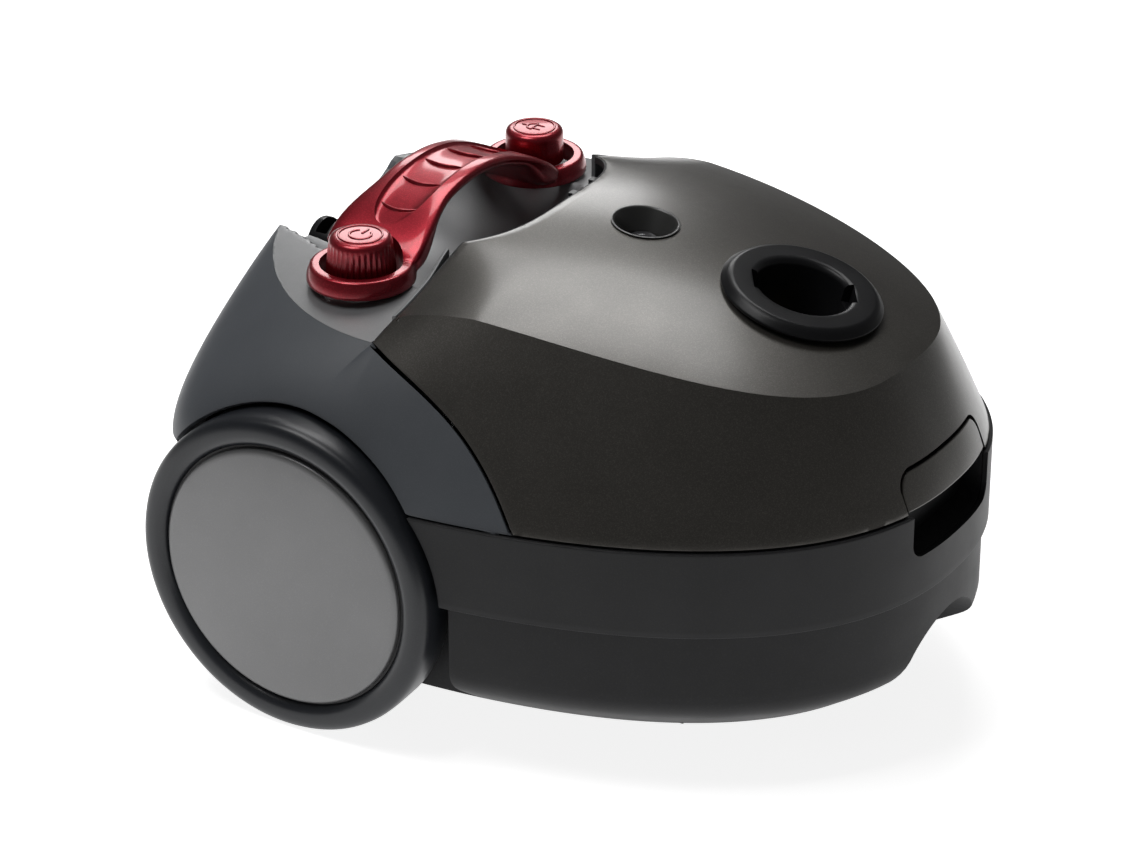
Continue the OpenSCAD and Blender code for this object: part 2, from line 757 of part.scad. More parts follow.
module fan_impeller() {
    color([0.75, 0.75, 0.76]) difference() {
        union() {
            along_x(-54, motor_y, motor_z, 46, 1.5);
            along_x(-39.5, motor_y, motor_z, 46, 1.5);
            along_x(-54, motor_y, motor_z, 9, 18);
            translate([0, motor_y, motor_z]) for (turn = [0 : 40 : 320]) rotate([turn, 0, 0]) {
                box([-53, -0.8, 8.5], [-39, 0.8, 45]);
            }
        }
        along_x(-60, motor_y, motor_z, 4.02, 40);
        difference() {
            along_x(-39.6, motor_y, motor_z, 20, 2);
            along_x(-40, motor_y, motor_z, 9, 3);
        }
    }
}

module fan_cover() {
    color([0.66, 0.67, 0.69]) difference() {
        along_x(-57.9, motor_y, motor_z, 54, 31.9);
        along_x(-58, motor_y, motor_z, 51.5, 29.5);
        along_x(-40, motor_y, motor_z, 20, 20);
        for (turn = [0 : 30 : 330]) translate([-50, motor_y, motor_z]) rotate([turn, 0, 0]) {
            translate([0, 0, 45]) cylinder(h = 12, r = 3.5, $fn = round_fn);
        }
    }
}

module motor_front_seal() {
    color([0.1, 0.1, 0.1]) difference() {
        along_x(-25.9, motor_y, motor_z, 34, 3.8);
        along_x(-30, motor_y, motor_z, 26, 12);
    }
}

module motor_rear_mount() {
    color([0.1, 0.1, 0.1]) difference() {
        along_x(-140.9, motor_y, motor_z, 30, 10.8);
        along_x(-145, motor_y, motor_z, 14, 20);
        for (turn = [0 : 90 : 270]) translate([-150, motor_y, motor_z]) rotate([turn, 0, 0]) {
            along_x(0, 0, 22, 4, 30);
        }
    }
}

module bag_holder() {
    color([0.14, 0.14, 0.15]) {
        socket_frame() translate([0, 0, -46]) difference() {
            box([-46, -52, 0], [46, 52, 3]);
            translate([0, 0, -1]) cylinder(h = 5, r = 28, $fn = round_fn);
        }
        both_sides() {
            box([66, 50, 147], [82, 94, 150]);
            box([66, 91, 100.1], [82, 94, 150]);
        }
    }
}

module bag_plate() {
    color([0.72, 0.6, 0.42]) socket_frame() translate([0, 0, -48.3]) difference() {
        box([-43, -46, 0], [43, 46, 2.2]);
        translate([0, 0, -1]) cylinder(h = 5, r = 20, $fn = round_fn);
    }
}

// Soft paper bag: a plain pillow under its plate.
module dust_bag() {
    levels = [[86, 0.6], [89, 0.84], [98, 1], [112, 1], [125, 0.88], [132, 0.64]];
    rings = [for (level = levels) [for (i = [0 : 23]) let (t = 15 * i)
        [60 + 66 * level[1] * signed_pow(cos(t), 0.7), 82 * level[1] * signed_pow(sin(t), 0.7), level[0]]]];
    color([0.83, 0.79, 0.70]) loft(rings, [60, 0, 134]);
}

module filter_grid() {
    color([0.14, 0.14, 0.15]) difference() {
        box([-13.2, -92, 42], [-10.6, -4, 126]);
        for (i = [0 : 5], j = [0 : 5]) {
            box([-15, -89 + 14.1 * i, 45 + 13.3 * j], [-8, -77.5 + 14.1 * i, 55.8 + 13.3 * j]);
        }
    }
}

module motor_filter() {
    color([0.9, 0.9, 0.88]) box([-19.2, -90, 44], [-13.4, -6, 124]);
}

module exhaust_filter() {
    color([0.9, 0.9, 0.88]) box([-159, -48, 50], [-152.5, 14, 104]);
}

module exhaust_grille() {
    color([0.07, 0.07, 0.075]) {
        difference() {
            box([-166, -49.6, 48.4], [-162.2, 49.6, 105.6]);
            for (i = [0 : 8]) box([-170, -46, 51.6 + 5.9 * i], [-160, 46, 55 + 5.9 * i]);
        }
        for (y = [-16, 16]) box([-162.4, y - 1, 49], [-160, y + 1, 105]);
    }
}

module parking_clip() {
    color([0.05, 0.05, 0.055]) difference() {
        union() {
            box([-166, -12, 134], [-153, 12, 156]);
            along_x(-166, 0, 156, 12, 13);
        }
        box([-162.6, -8.4, 137], [-156.4, 8.4, 200]);
    }
}

// Rear wheel parts, built along +Y from the middle of the machine.
module turned(profile, side, fn = 96) {
    translate([wheel_x, 0, axle_z]) rotate([-90 * side, 0, 0]) rotate_extrude($fn = fn) polygon(profile);
}

module tyre(side) {
    color([0.06, 0.065, 0.075]) turned([[61.6, 128.5], [70, 128], [72.6, 129.2],
        [wheel_r - 0.4, 132], [wheel_r, 147], [wheel_r - 0.5, 149.6], [wheel_r - 2.2, 151],
        [69, 152], [65.4, 152], [62.8, 150.6], [61.6, 148.6]], side);
}

module wheel_hub(side) {
    color([0.1, 0.1, 0.105]) difference() {
        turned([[axle_r + run_gap, 120.5], [13, 120.5], [13, 134], [57, 134],
                [57, 129], [61.4, 129], [61.4, 148.5], [57, 148.5],
                [57, 137], [13, 137], [13, 143], [axle_r + run_gap, 143]], side);
        for (turn = [0 : 60 : 300]) translate([wheel_x, 0, axle_z]) rotate([0, turn, 0]) {
            along_y(36, side > 0 ? 100 : -170, 0, 10, 70);
        }
    }
}

module wheel_cover(side) {
    color([0.38, 0.38, 0.38]) turned([[0, 150.9], [52, 149.6], [57, 148.7], [60.2, 148.7], [60.2, 150.2],
        [58, 151.1], [40, 152.6], [20, 153.3], [0, 153.5]], side);
}

module wheel_axles() {
    color([0.7, 0.7, 0.72]) both_sides() difference() {
        along_y(wheel_x, well_y - 22, axle_z, axle_r, 52);
        translate([wheel_x, 144.6, axle_z]) rotate([-90, 0, 0]) difference() {
            cylinder(h = 1.6, r = axle_r + 1, $fn = round_fn);
            cylinder(h = 1.6, r = axle_r - 1, $fn = round_fn);
        }
    }
}

module wheel_clips() {
    color([0.55, 0.55, 0.57]) both_sides() difference() {
        along_y(wheel_x, 144.7, axle_z, 10, 1.4);
        along_y(wheel_x, 144, axle_z, axle_r - 0.95, 4);
        box([wheel_x, 144, axle_z - 3], [wheel_x + 20, 148, axle_z + 3]);
    }
}

module caster_fork() {
    color([0.09, 0.09, 0.095]) difference() {
        union() {
            translate([caster_x, 0, 42]) cylinder(h = 5, r = 24, $fn = round_fn);
            translate([caster_x, 0, 46]) cylinder(h = 37, r = 6, $fn = round_fn);
            both_sides() {
                box([caster_x - caster_trail - 7, 9.2, caster_r], [caster_x + 10, 12.2, 43]);
                along_y(caster_x - caster_trail, 9.2, caster_r, 7, 3);
            }
        }
        along_y(caster_x - caster_trail, -20, caster_r, 2.52, 40);
        translate([caster_x, 0, 80.4]) difference() {
            cylinder(h = 1.4, r = 8, $fn = round_fn);
            translate([0, 0, -1]) cylinder(h = 4, r = 4.8, $fn = round_fn);
        }
    }
}

module caster_wheel() {
    profile = [[2.56, -8.4], [8, -8.4], [9, -7], [16, -7], [17.4, -8], [caster_r, -6.4], [caster_r, 6.4],
               [17.4, 8], [16, 7], [9, 7], [8, 8.4], [2.56, 8.4]];
    color([0.12, 0.12, 0.125]) translate([caster_x - caster_trail, 0, caster_r]) rotate([90, 0, 0]) {
        rotate_extrude($fn = round_fn) polygon(profile);
    }
}

module caster_axle() {
    color([0.7, 0.7, 0.72]) along_y(caster_x - caster_trail, -12.8, caster_r, 2.5, 25.6);
}

module caster_clip() {
    color([0.55, 0.55, 0.57]) translate([caster_x, 0, 80.5]) difference() {
        cylinder(h = 1.2, r = 9, $fn = round_fn);
        translate([0, 0, -1]) cylinder(h = 4, r = 4.85, $fn = round_fn);
        box([0, -2.5, -1], [20, 2.5, 3]);
    }
}

module shell_screws() {
    color([0.6, 0.6, 0.62]) for (spot = screw_spots) translate([spot[0], spot[1], 97.4]) {
        cylinder(h = 2.5, r = 4, $fn = round_fn);
        cylinder(h = 33, r = 1.9, $fn = round_fn);
    }
}

tub();
bumper_band();
rear_shell();
grip_deck();
hinge_brackets();
hinge_pins();
dust_lid();
lid_gasket();
latch_button();
latch_pin();
latch_spring();
hose_socket();
hose_seal();
indicator_dish();
indicator_lens();
indicator_piston();
indicator_spring();
carry_handle();
handle_screws();
power_knob();
speed_control();
control_board();
rewind_button();
rewind_spring();
brake_lever();
cable_reel();
reel_axle();
reel_frame();
reel_spring_case();
cord_gland();
motor_can();
stator_core();
motor_rotor();
fan_impeller();
fan_cover();
motor_front_seal();
motor_rear_mount();
bag_holder();
bag_plate();
dust_bag();
filter_grid();
motor_filter();
exhaust_filter();
exhaust_grille();
parking_clip();
tyre(-1);  // tyre_right
tyre(1);  // tyre_left
wheel_hub(-1);  // wheel_hub_right
wheel_hub(1);  // wheel_hub_left
wheel_cover(-1);  // wheel_cover_right
wheel_cover(1);  // wheel_cover_left
wheel_axles();
wheel_clips();
caster_fork();
caster_wheel();
caster_axle();
caster_clip();
shell_screws();
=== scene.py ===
import math

import bmesh
import bpy
import numpy as np
from mathutils import Matrix, Vector, noise


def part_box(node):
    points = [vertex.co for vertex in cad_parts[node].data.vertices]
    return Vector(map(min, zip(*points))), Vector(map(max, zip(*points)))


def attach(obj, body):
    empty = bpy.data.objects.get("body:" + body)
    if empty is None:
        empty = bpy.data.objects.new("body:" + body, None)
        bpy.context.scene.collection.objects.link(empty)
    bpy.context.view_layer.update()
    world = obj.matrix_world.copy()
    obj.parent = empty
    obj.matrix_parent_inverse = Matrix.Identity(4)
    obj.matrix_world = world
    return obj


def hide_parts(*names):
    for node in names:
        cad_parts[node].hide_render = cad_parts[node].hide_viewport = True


# Looks for the canister vacuum cleaner. Lengths are in millimetres until a mesh is made, and the numbers
# below are the ones that the CAD source has. +X is the nose, +Y the machine's left, +Z up.

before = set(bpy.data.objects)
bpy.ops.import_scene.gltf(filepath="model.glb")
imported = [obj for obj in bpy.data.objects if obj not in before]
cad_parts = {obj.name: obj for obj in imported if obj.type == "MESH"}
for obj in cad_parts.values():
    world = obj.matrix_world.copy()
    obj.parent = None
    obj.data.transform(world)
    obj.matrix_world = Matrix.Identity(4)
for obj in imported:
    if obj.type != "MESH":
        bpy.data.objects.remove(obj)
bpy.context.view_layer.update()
MM = 0.001

BELT_Z = 119.0
BAND_LOW = 79.0
TUB_Z = 20.0
WALL = 2.6
BELT_SHAPE = (-85.0, 246.0, 82.0, 147.3, 2.3, 5.0)     # middle, front, tail, half width, exponents
CROWN_SHAPE = (-85.0, 223.0, 80.0, 100.0, 2.7, 2.2)
DECK_SHAPE = (-62.0, 101.0, 101.0, 110.0, 2.1, 2.1)
JOINT_MIDDLE = (-86.0, 45.0)
JOINT_R = 133.0
ARCH_R = 76.5
WELL_Y = 118.0
KNOB_Y = 71.0
CLIP_HALF = 13.5                 # half width of the cut that clears the parking clip
HINGE = (-41.0, 194.0)


def centre(node):
    low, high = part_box(node)
    return (low + high) / 2 / MM


AXLE = centre("tyre_right")
KNOB = centre("power_knob")
KNOB_X, KNOB_TOP = KNOB.x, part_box("power_knob")[1].z / MM
SOCKET_PLACE, SOCKET_TILT = Vector((85.4, 0, 194)), math.radians(14.1)
DISH_PLACE, DISH_TILT = Vector((7, 0, 205.3)), math.radians(7)


# ---------------- shape functions

def ease(u):
    v = np.clip(u, 0, 1)
    return v * v * (3 - 2 * v)


def signed_power(v, p):
    return np.sign(v) * np.abs(v) ** p


def oval(shape, t, grow=0.0):
    """Point on a plan oval at angle t in radians."""
    middle, front, tail, half, n_front, n_rear = shape
    c, s = np.cos(t), np.sin(t)
    n = np.where(c > 0, n_front, n_rear)
    reach = np.where(c > 0, front, tail) + grow
    return middle + reach * signed_power(c, 2 / n), (half + grow) * signed_power(s, 2 / n)


def top_height(x, y):
    """Height of the lid's crown, which rolls down at its rear corners."""
    roll = 8.5 * ease((np.abs(y) - 45) / 55) * (np.maximum(0, -15 - x) / 42) ** 1.6
    return 209 - 0.002413 * np.maximum(0, x + 45) ** 1.85 - 0.0016 * y * y - roll


def deck_height(x, y):
    base = 186 - 0.0009 * y * y
    base = base + 15 * ease((x + 85) / 35) * (1 - ease((np.abs(y) - 30) / 35))
    behind = ease((-90 - x) / 75)
    depth = np.where(x > -90, 38.0, 38 - 16 * behind)
    half = np.where(x > -90, 66.0, 66 - 22 * behind)
    ratio = ((np.maximum(0, x + 90) / 58.5) ** 3 + (np.abs(y) / half) ** 3) ** (1 / 3)
    return base - depth * np.maximum(0, 1 - ratio ** 2.5) ** 0.8


def lid_rear_x(y):
    wide = -51 - 5 * (np.maximum(0, np.abs(y) - 50) / 50) ** 2.2
    bowl = -90 + 59 * (1 - np.minimum(1, np.abs(y) / 62) ** 3) ** (1 / 3)
    return np.maximum(wide, bowl)


LID_END = math.radians(86.4)      # where the crown's outline meets the lid's rear edge
SIDE_END = math.radians(90)


def crease(t):
    """The line where the flank ends, for t from 0 to pi: crown, short slope at the lid's corner, deck."""
    t = np.abs(np.asarray(t, float))
    cx, cy = oval(CROWN_SHAPE, np.minimum(t, LID_END))
    cz = top_height(cx, cy)
    dx, dy = oval(DECK_SHAPE, np.maximum(t, SIDE_END))
    dz = deck_height(dx, dy)
    u = np.clip((t - LID_END) / (SIDE_END - LID_END), 0, 1)
    return cx * (1 - u) + dx * u, cy * (1 - u) + dy * u, cz * (1 - u) + dz * u


def flank(t, h, base=BELT_Z):
    """Point on the side of the body: h is 0 at the belt and 1 at the crease. Negative t is the right side."""
    side = np.where(np.asarray(t, float) < 0, -1.0, 1.0)
    bx, by = oval(BELT_SHAPE, np.abs(t))
    kx, ky, kz = crease(t)
    g = h ** (1.1 + np.exp(-((bx + 85) / np.where(bx > -85, 50, 120)) ** 2))
    return bx * (1 - g) + kx * g, side * (by * (1 - g) + ky * g), base + (kz - base) * h


def joint_height(x, gap):
    """Height of the joint line between lid and rear shell at x."""
    r = JOINT_R + gap
    return JOINT_MIDDLE[1] + np.sqrt(np.maximum(1.0, r * r - (x - JOINT_MIDDLE[0]) ** 2))


def arch_height(x):
    return AXLE.z + np.sqrt(np.maximum(0.0, ARCH_R ** 2 - (x - AXLE.x) ** 2))


def level_where(t, height):
    """The h at which the flank at angle t crosses a curve of height over x, or 0 where it starts above it."""
    low, high = np.zeros_like(t), np.ones_like(t)
    x, _, z = flank(t, low)
    above = z >= height(x)
    for _ in range(40):
        middle = (low + high) / 2
        x, _, z = flank(t, middle)
        up = z >= height(x)
        high = np.where(up, middle, high)
        low = np.where(up, low, middle)
    return np.where(above, 0.0, (low + high) / 2)


def even_angles(start, end, count, shape=BELT_SHAPE):
    """Angles from start to end whose points lie evenly along the oval."""
    fine = np.linspace(start, end, 4001)
    x, y = oval(shape, fine)
    along = np.concatenate([[0], np.cumsum(np.hypot(np.diff(x), np.diff(y)))])
    return np.interp(np.linspace(0, along[-1], count), along, fine)


# ---------------- mesh helpers

def add_object(name, data):
    made = bpy.data.objects.new(name, data)
    bpy.context.scene.collection.objects.link(made)
    return made


def new_object(name, vertices, faces, smooth_angle=35):
    mesh = bpy.data.meshes.new(name)
    mesh.from_pydata([tuple(float(c) * MM for c in v) for v in vertices], [], faces)
    mesh.validate()
    mesh.update()
    made = add_object(name, mesh)
    shade(made, smooth_angle)
    return made


def shade(piece, angle=35):
    piece.data.polygons.foreach_set("use_smooth", [True] * len(piece.data.polygons))
    piece.data.set_sharp_from_angle(angle=math.radians(angle))


def grid(rows, columns, offset=0, flip=False, wrap=False):
    """Quads of a grid whose vertices go row by row."""
    faces = []
    for i in range(rows - 1):
        for j in range(columns if wrap else columns - 1):
            k = (j + 1) % columns
            a, b = offset + i * columns + j, offset + i * columns + k
            quad = (a, b, b + columns, a + columns)
            faces.append(quad[::-1] if flip else quad)
    return faces


def tube(rows, columns):
    """Faces of a closed tube: a wrapped grid with a cap at each end."""
    caps = [tuple(range(columns))[::-1], tuple(range((rows - 1) * columns, rows * columns))]
    return grid(rows, columns, wrap=True) + caps


def slab(rows, columns):
    """Faces of a closed slab: two grids of the same size, joined round their edge."""
    n, last = rows * columns, columns - 1
    edge = list(range(columns)) + [i * columns + last for i in range(1, rows)]
    edge += [(rows - 1) * columns + j for j in range(last - 1, -1, -1)]
    edge += [i * columns for i in range(rows - 2, 0, -1)]
    faces = grid(rows, columns) + grid(rows, columns, n, True)
    for k, at in enumerate(edge):
        after = edge[(k + 1) % len(edge)]
        faces.append((after, at, at + n, after + n))
    return faces


def tidy_mesh(piece, merge=0.02, flip_out=True):
    bm = bmesh.new()
    bm.from_mesh(piece.data)
    bmesh.ops.remove_doubles(bm, verts=bm.verts, dist=merge * MM)
    bmesh.ops.dissolve_degenerate(bm, edges=bm.edges, dist=0.004 * MM)
    if flip_out:
        bmesh.ops.recalc_face_normals(bm, faces=bm.faces)
    bm.to_mesh(piece.data)
    bm.free()


def apply_modifiers(piece):
    graph = bpy.context.evaluated_depsgraph_get()
    graph.update()
    mesh = bpy.data.meshes.new_from_object(piece.evaluated_get(graph), depsgraph=graph)
    old = piece.data
    piece.modifiers.clear()
    piece.data = mesh
    bpy.data.meshes.remove(old)


def solidify(piece, thickness, offset=-1.0):
    m = piece.modifiers.new("thickness", "SOLIDIFY")
    m.thickness = thickness * MM
    m.offset = offset
    m.use_even_offset = False
    apply_modifiers(piece)


def bevel(piece, width, segments=2, angle=40):
    m = piece.modifiers.new("edges", "BEVEL")
    m.width = width * MM
    m.segments = segments
    m.limit_method = "ANGLE"
    m.angle_limit = math.radians(angle)
    m.harden_normals = False
    m.use_clamp_overlap = True
    apply_modifiers(piece)


def boolean(piece, tool, operation="DIFFERENCE"):
    m = piece.modifiers.new("cut", "BOOLEAN")
    m.object = tool
    m.operation = operation
    m.solver = "EXACT"
    bpy.context.view_layer.update()
    apply_modifiers(piece)
    bpy.data.objects.remove(tool)


def join(pieces, name):
    """Joins the meshes into the first object, and names it."""
    first = pieces[0]
    bm = bmesh.new()
    for p in pieces:
        bm.from_mesh(p.data)
    bm.to_mesh(first.data)
    bm.free()
    for p in pieces[1:]:
        bpy.data.objects.remove(p)
    first.name = name
    return first


def turned(name, profile, steps=96, place=(0, 0, 0), axis="Z", tilt=0.0, closed=False):
    """Turns a profile of (radius, height) about an axis. A closed profile makes a ring."""
    points, rows = [], len(profile)
    for r, z in profile:
        for j in range(steps):
            a = 2 * math.pi * j / steps
            points.append((max(r, 0.0) * math.cos(a), max(r, 0.0) * math.sin(a), z))
    faces = grid(rows, steps, wrap=True)
    if closed:
        last = (rows - 1) * steps
        faces += [(last + j, last + (j + 1) % steps, (j + 1) % steps, j) for j in range(steps)]
    turn = {"Z": Matrix.Identity(3), "Y": Matrix.Rotation(-math.pi / 2, 3, "X"),
            "-Y": Matrix.Rotation(math.pi / 2, 3, "X"), "X": Matrix.Rotation(math.pi / 2, 3, "Y")}[axis]
    turn = Matrix.Rotation(tilt, 3, "Y") @ turn
    points = [turn @ Vector(p) + Vector(place) for p in points]
    made = new_object(name, points, faces)
    tidy_mesh(made)
    shade(made)
    return made


def cylinder(r, low, high, steps, place=(0, 0, 0), axis="Z", tilt=0.0):
    return turned("cut", [(0, low), (r, low), (r, high), (0, high)], steps, place, axis, tilt)


def smooth_profile(points, radius=0.8, steps=4):
    """Rounds the corners of an open profile of (radius, height) points."""
    made = [points[0]]
    for before, at, after in zip(points, points[1:], points[2:]):
        p, q, s = Vector(before), Vector(at), Vector(after)
        d1, d2 = p - q, s - q
        cut = min(radius, d1.length * 0.45, d2.length * 0.45)
        a, b = q + d1.normalized() * cut, q + d2.normalized() * cut
        for k in range(steps + 1):
            u = k / steps
            made.append(tuple((a * (1 - u) ** 2 + q * 2 * u * (1 - u) + b * u ** 2)))
    made.append(points[-1])
    return made


def block(name, low, high, round_by=0.6):
    """A bevelled box between two corners."""
    x0, y0, z0 = low
    x1, y1, z1 = high
    v = [(x, y, z) for x in (x0, x1) for y in (y0, y1) for z in (z0, z1)]
    faces = [(0, 1, 3, 2), (4, 6, 7, 5), (0, 4, 5, 1), (2, 3, 7, 6), (0, 2, 6, 4), (1, 5, 7, 3)]
    made = new_object(name, v, faces)
    if round_by:
        bevel(made, round_by, 2)
        shade(made)
    return made


def prism(name, outline, low, high, axis="X", round_by=0.0):
    """Extrudes an outline of (a, b) points: along X it is (y, z), along Y (x, z), along Z (x, y)."""
    place = {"X": lambda a, b, c: (c, a, b), "Y": lambda a, b, c: (a, c, b),
             "Z": lambda a, b, c: (a, b, c)}[axis]
    n = len(outline)
    v = [place(a, b, low) for a, b in outline] + [place(a, b, high) for a, b in outline]
    faces = [tuple(range(n))[::-1], tuple(range(n, 2 * n))]
    faces += [(j, (j + 1) % n, n + (j + 1) % n, n + j) for j in range(n)]
    made = new_object(name, v, faces)
    tidy_mesh(made, 0.001)
    if round_by:
        bevel(made, round_by, 2, 50)
        shade(made)
    return made


def rounded_rect(half_w, low, high, r, steps=8):
    """Outline of a rounded rectangle, (y, z) points."""
    made = []
    for cy, cz, start in ((half_w - r, high - r, 0), (-half_w + r, high - r, 90), (-half_w + r, low + r, 180),
                          (half_w - r, low + r, 270)):
        for k in range(steps + 1):
            a = math.radians(start + 90 * k / steps)
            made.append((cy + r * math.cos(a), cz + r * math.sin(a)))
    return made


def mirrored(piece, name):
    """A copy of the piece on the other side of the middle plane."""
    mesh = piece.data.copy()
    mesh.transform(Matrix.Scale(-1, 4, (0, 1, 0)))
    mesh.flip_normals()
    return add_object(name, mesh)


# ---------------- materials

def set_inputs(node, values):
    for name, value in values.items():
        node.inputs[name].default_value = value


def material(name, colour, rough=0.45, metal=0.0, grain=0.0, grain_size=0.5, mottle=0.05, wear=0.2,
             coat=0.0, coat_rough=0.08, flake=0.0, streak=0.0, spec=0.5, sheen=0.0, clear=0.0, dust=0.0):
    """A moulded or painted finish. grain is bump in millimetres at grain_size, mottle a slow colour change,
    wear a lighter edge, flake a metallic sparkle, streak a fine bump in millimetres on bare metal."""
    m = bpy.data.materials.new(name)
    m.use_nodes = True
    nodes, links = m.node_tree.nodes, m.node_tree.links
    shader = nodes["Principled BSDF"]
    set_inputs(shader, {"Metallic": metal, "Specular IOR Level": spec, "Coat Weight": coat,
                        "Coat Roughness": coat_rough, "Sheen Weight": sheen, "Transmission Weight": clear})
    place = nodes.new("ShaderNodeTexCoord")

    def pattern(size, detail, roughness):
        n = nodes.new("ShaderNodeTexNoise")
        set_inputs(n, {"Scale": 1000.0 / size, "Detail": detail, "Roughness": roughness})
        links.new(place.outputs["Object"], n.inputs["Vector"])
        return n.outputs["Fac"]

    def spread(value, low, high, to_low, to_high):
        r = nodes.new("ShaderNodeMapRange")
        set_inputs(r, {"From Min": low, "From Max": high, "To Min": to_low, "To Max": to_high})
        links.new(value, r.inputs["Value"])
        return r.outputs["Result"]

    def blend(factor, first, second):
        mix = nodes.new("ShaderNodeMix")
        mix.data_type = "RGBA"
        for value, spot in ((factor, 0), (first, 6), (second, 7)):
            if hasattr(value, "links"):
                links.new(value, mix.inputs[spot])
            else:
                mix.inputs[spot].default_value = value
        return mix.outputs[2]

    dark = tuple(c * (1 - mottle) for c in colour) + (1.0,)
    light = tuple(min(1, c * (1 + mottle)) for c in colour) + (1.0,)
    slow = pattern(38, 4, 0.6)
    tint = blend(spread(slow, 0.35, 0.65, 0, 1), dark, light)
    if grain:
        fine = pattern(grain_size, 2, 0.6)
        speck = tuple(min(1, c * 1.22 + 0.004) for c in colour) + (1.0,)
        tint = blend(spread(fine, 0.52, 0.75, 0, 0.75), tint, speck)
    if flake:
        spark = nodes.new("ShaderNodeTexVoronoi")
        spark.inputs["Scale"].default_value = 1000.0 / 0.32
        links.new(place.outputs["Object"], spark.inputs["Vector"])
        bright = tuple(min(1, c * 2.6 + 0.02) for c in colour) + (1.0,)
        split = nodes.new("ShaderNodeSeparateColor")
        links.new(spark.outputs["Color"], split.inputs["Color"])
        tint = blend(spread(split.outputs["Red"], 0.6, 1.0, 0, flake), tint, bright)
    if wear:
        shape = nodes.new("ShaderNodeNewGeometry")
        edge = spread(shape.outputs["Pointiness"], 0.53, 0.62, 0, wear)
        worn = tuple(min(1, c * 1.5 + 0.015) for c in colour) + (1.0,)
        tint = blend(edge, tint, worn)
    if dust:
        up = nodes.new("ShaderNodeNewGeometry")
        split = nodes.new("ShaderNodeSeparateXYZ")
        links.new(up.outputs["Normal"], split.inputs["Vector"])
        patch = nodes.new("ShaderNodeMath")
        patch.operation = "MULTIPLY"
        links.new(spread(split.outputs["Z"], 0.2, 1, 0, dust), patch.inputs[0])
        links.new(spread(pattern(7, 5, 0.7), 0.4, 0.7, 0.2, 1), patch.inputs[1])
        tint = blend(patch.outputs[0], tint, (0.42, 0.4, 0.37, 1))
    links.new(tint, shader.inputs["Base Color"])
    cloud = pattern(22, 4, 0.65)
    uneven = spread(cloud, 0.3, 0.7, max(0.02, rough - 0.035), min(1, rough + 0.035))
    links.new(uneven, shader.inputs["Roughness"])
    if grain or streak:
        bump = nodes.new("ShaderNodeBump")
        set_inputs(bump, {"Distance": max(grain, streak) * MM, "Strength": 1.0})
        height = pattern(0.5, 2, 0.5) if streak else pattern(grain_size, 3, 0.6)
        links.new(height, bump.inputs["Height"])
        links.new(bump.outputs["Normal"], shader.inputs["Normal"])
    return m


LID_PAINT = material("lid_metallic_grey", (0.058, 0.054, 0.048), rough=0.36, metal=0.6, grain=0.004,
                     grain_size=0.7, mottle=0.03, coat=0.55, coat_rough=0.2, flake=0.26)
# shell_texture_painted_shade and deck_texture_painted_light are one plastic in two tones: the shell's darker, bluer
# tone is painted shade on the sides, and the deck's lighter tone is painted light on its upward face.
SHELL = material("shell_texture_painted_shade", (0.074, 0.080, 0.089), rough=0.44, grain=0.012, grain_size=0.45,
                 wear=0.35, spec=0.4)
DECK = material("deck_texture_painted_light", (0.125, 0.129, 0.133), rough=0.38, grain=0.014, wear=0.35, spec=0.9,
                dust=0.04)
BAND = material("band_texture", (0.017, 0.017, 0.018), rough=0.46, grain=0.012, grain_size=0.6, wear=0.3,
                spec=0.2)
TUB = material("tub_texture", (0.014, 0.014, 0.015), rough=0.5, grain=0.02, grain_size=0.8, wear=0.3,
               spec=0.2, dust=0.03)
BLACK = material("black_satin", (0.009, 0.009, 0.010), rough=0.32, grain=0.006, wear=0.3, spec=0.2)
DISH = material("dish_satin", (0.022, 0.022, 0.021), rough=0.34, grain=0.006, wear=0.3, spec=0.6)
RED = material("handle_metallic_red", (0.25, 0.005, 0.014), rough=0.35, metal=0.75, mottle=0.06,
               coat=0.55, coat_rough=0.1, flake=0.35)
DISC = material("disc_satin_grey", (0.17, 0.17, 0.172), rough=0.36, metal=0.45, grain=0.004,
                grain_size=0.4, mottle=0.03)
RIM = material("rim_soft_black", (0.014, 0.0155, 0.019), rough=0.33, grain=0.008, grain_size=0.7,
               mottle=0.08, wear=0.25, spec=0.4)
RUBBER = material("rubber", (0.012, 0.012, 0.012), rough=0.75, grain=0.02, grain_size=0.6, wear=0.15,
                  dust=0.05)
STEEL = material("steel", (0.62, 0.62, 0.63), rough=0.28, metal=1.0, mottle=0.06, streak=0.004)
SPRING = material("spring_steel", (0.45, 0.45, 0.47), rough=0.32, metal=1.0, mottle=0.08, streak=0.006)
SMOKED = material("smoked_clear", (0.05, 0.05, 0.055), rough=0.06, wear=0.1, coat=0.6, clear=0.35)
SIGNAL = material("signal_red", (0.62, 0.035, 0.02), rough=0.4, grain=0.006)
BOARD = material("board_green", (0.02, 0.12, 0.045), rough=0.4, grain=0.008, grain_size=0.9, mottle=0.15,
                 wear=0.3, coat=0.4)
IVORY = material("ivory_plastic", (0.66, 0.6, 0.46), rough=0.48, grain=0.01, grain_size=0.6, mottle=0.08)
LAMINATIONS = material("laminations", (0.2, 0.17, 0.15), rough=0.42, metal=0.85, mottle=0.2, wear=0.35,
                       streak=0.02)
COPPER = material("copper", (0.62, 0.26, 0.12), rough=0.34, metal=0.95, mottle=0.15, wear=0.3,
                  streak=0.02)
CARD = material("card", (0.52, 0.38, 0.22), rough=0.86, grain=0.02, grain_size=0.7, mottle=0.12,
                wear=0.15)
PAPER = material("bag_paper", (0.7, 0.62, 0.48), rough=0.9, grain=0.05, grain_size=1.1, mottle=0.07,
                 wear=0.1, sheen=0.15)
FLEECE = material("filter_fleece", (0.8, 0.8, 0.77), rough=0.95, grain=0.12, grain_size=1.0, mottle=0.06,
                  wear=0.1, sheen=0.35)
FAN = material("fan_aluminium", (0.72, 0.72, 0.73), rough=0.36, metal=1.0, mottle=0.07, wear=0.25,
               streak=0.01)
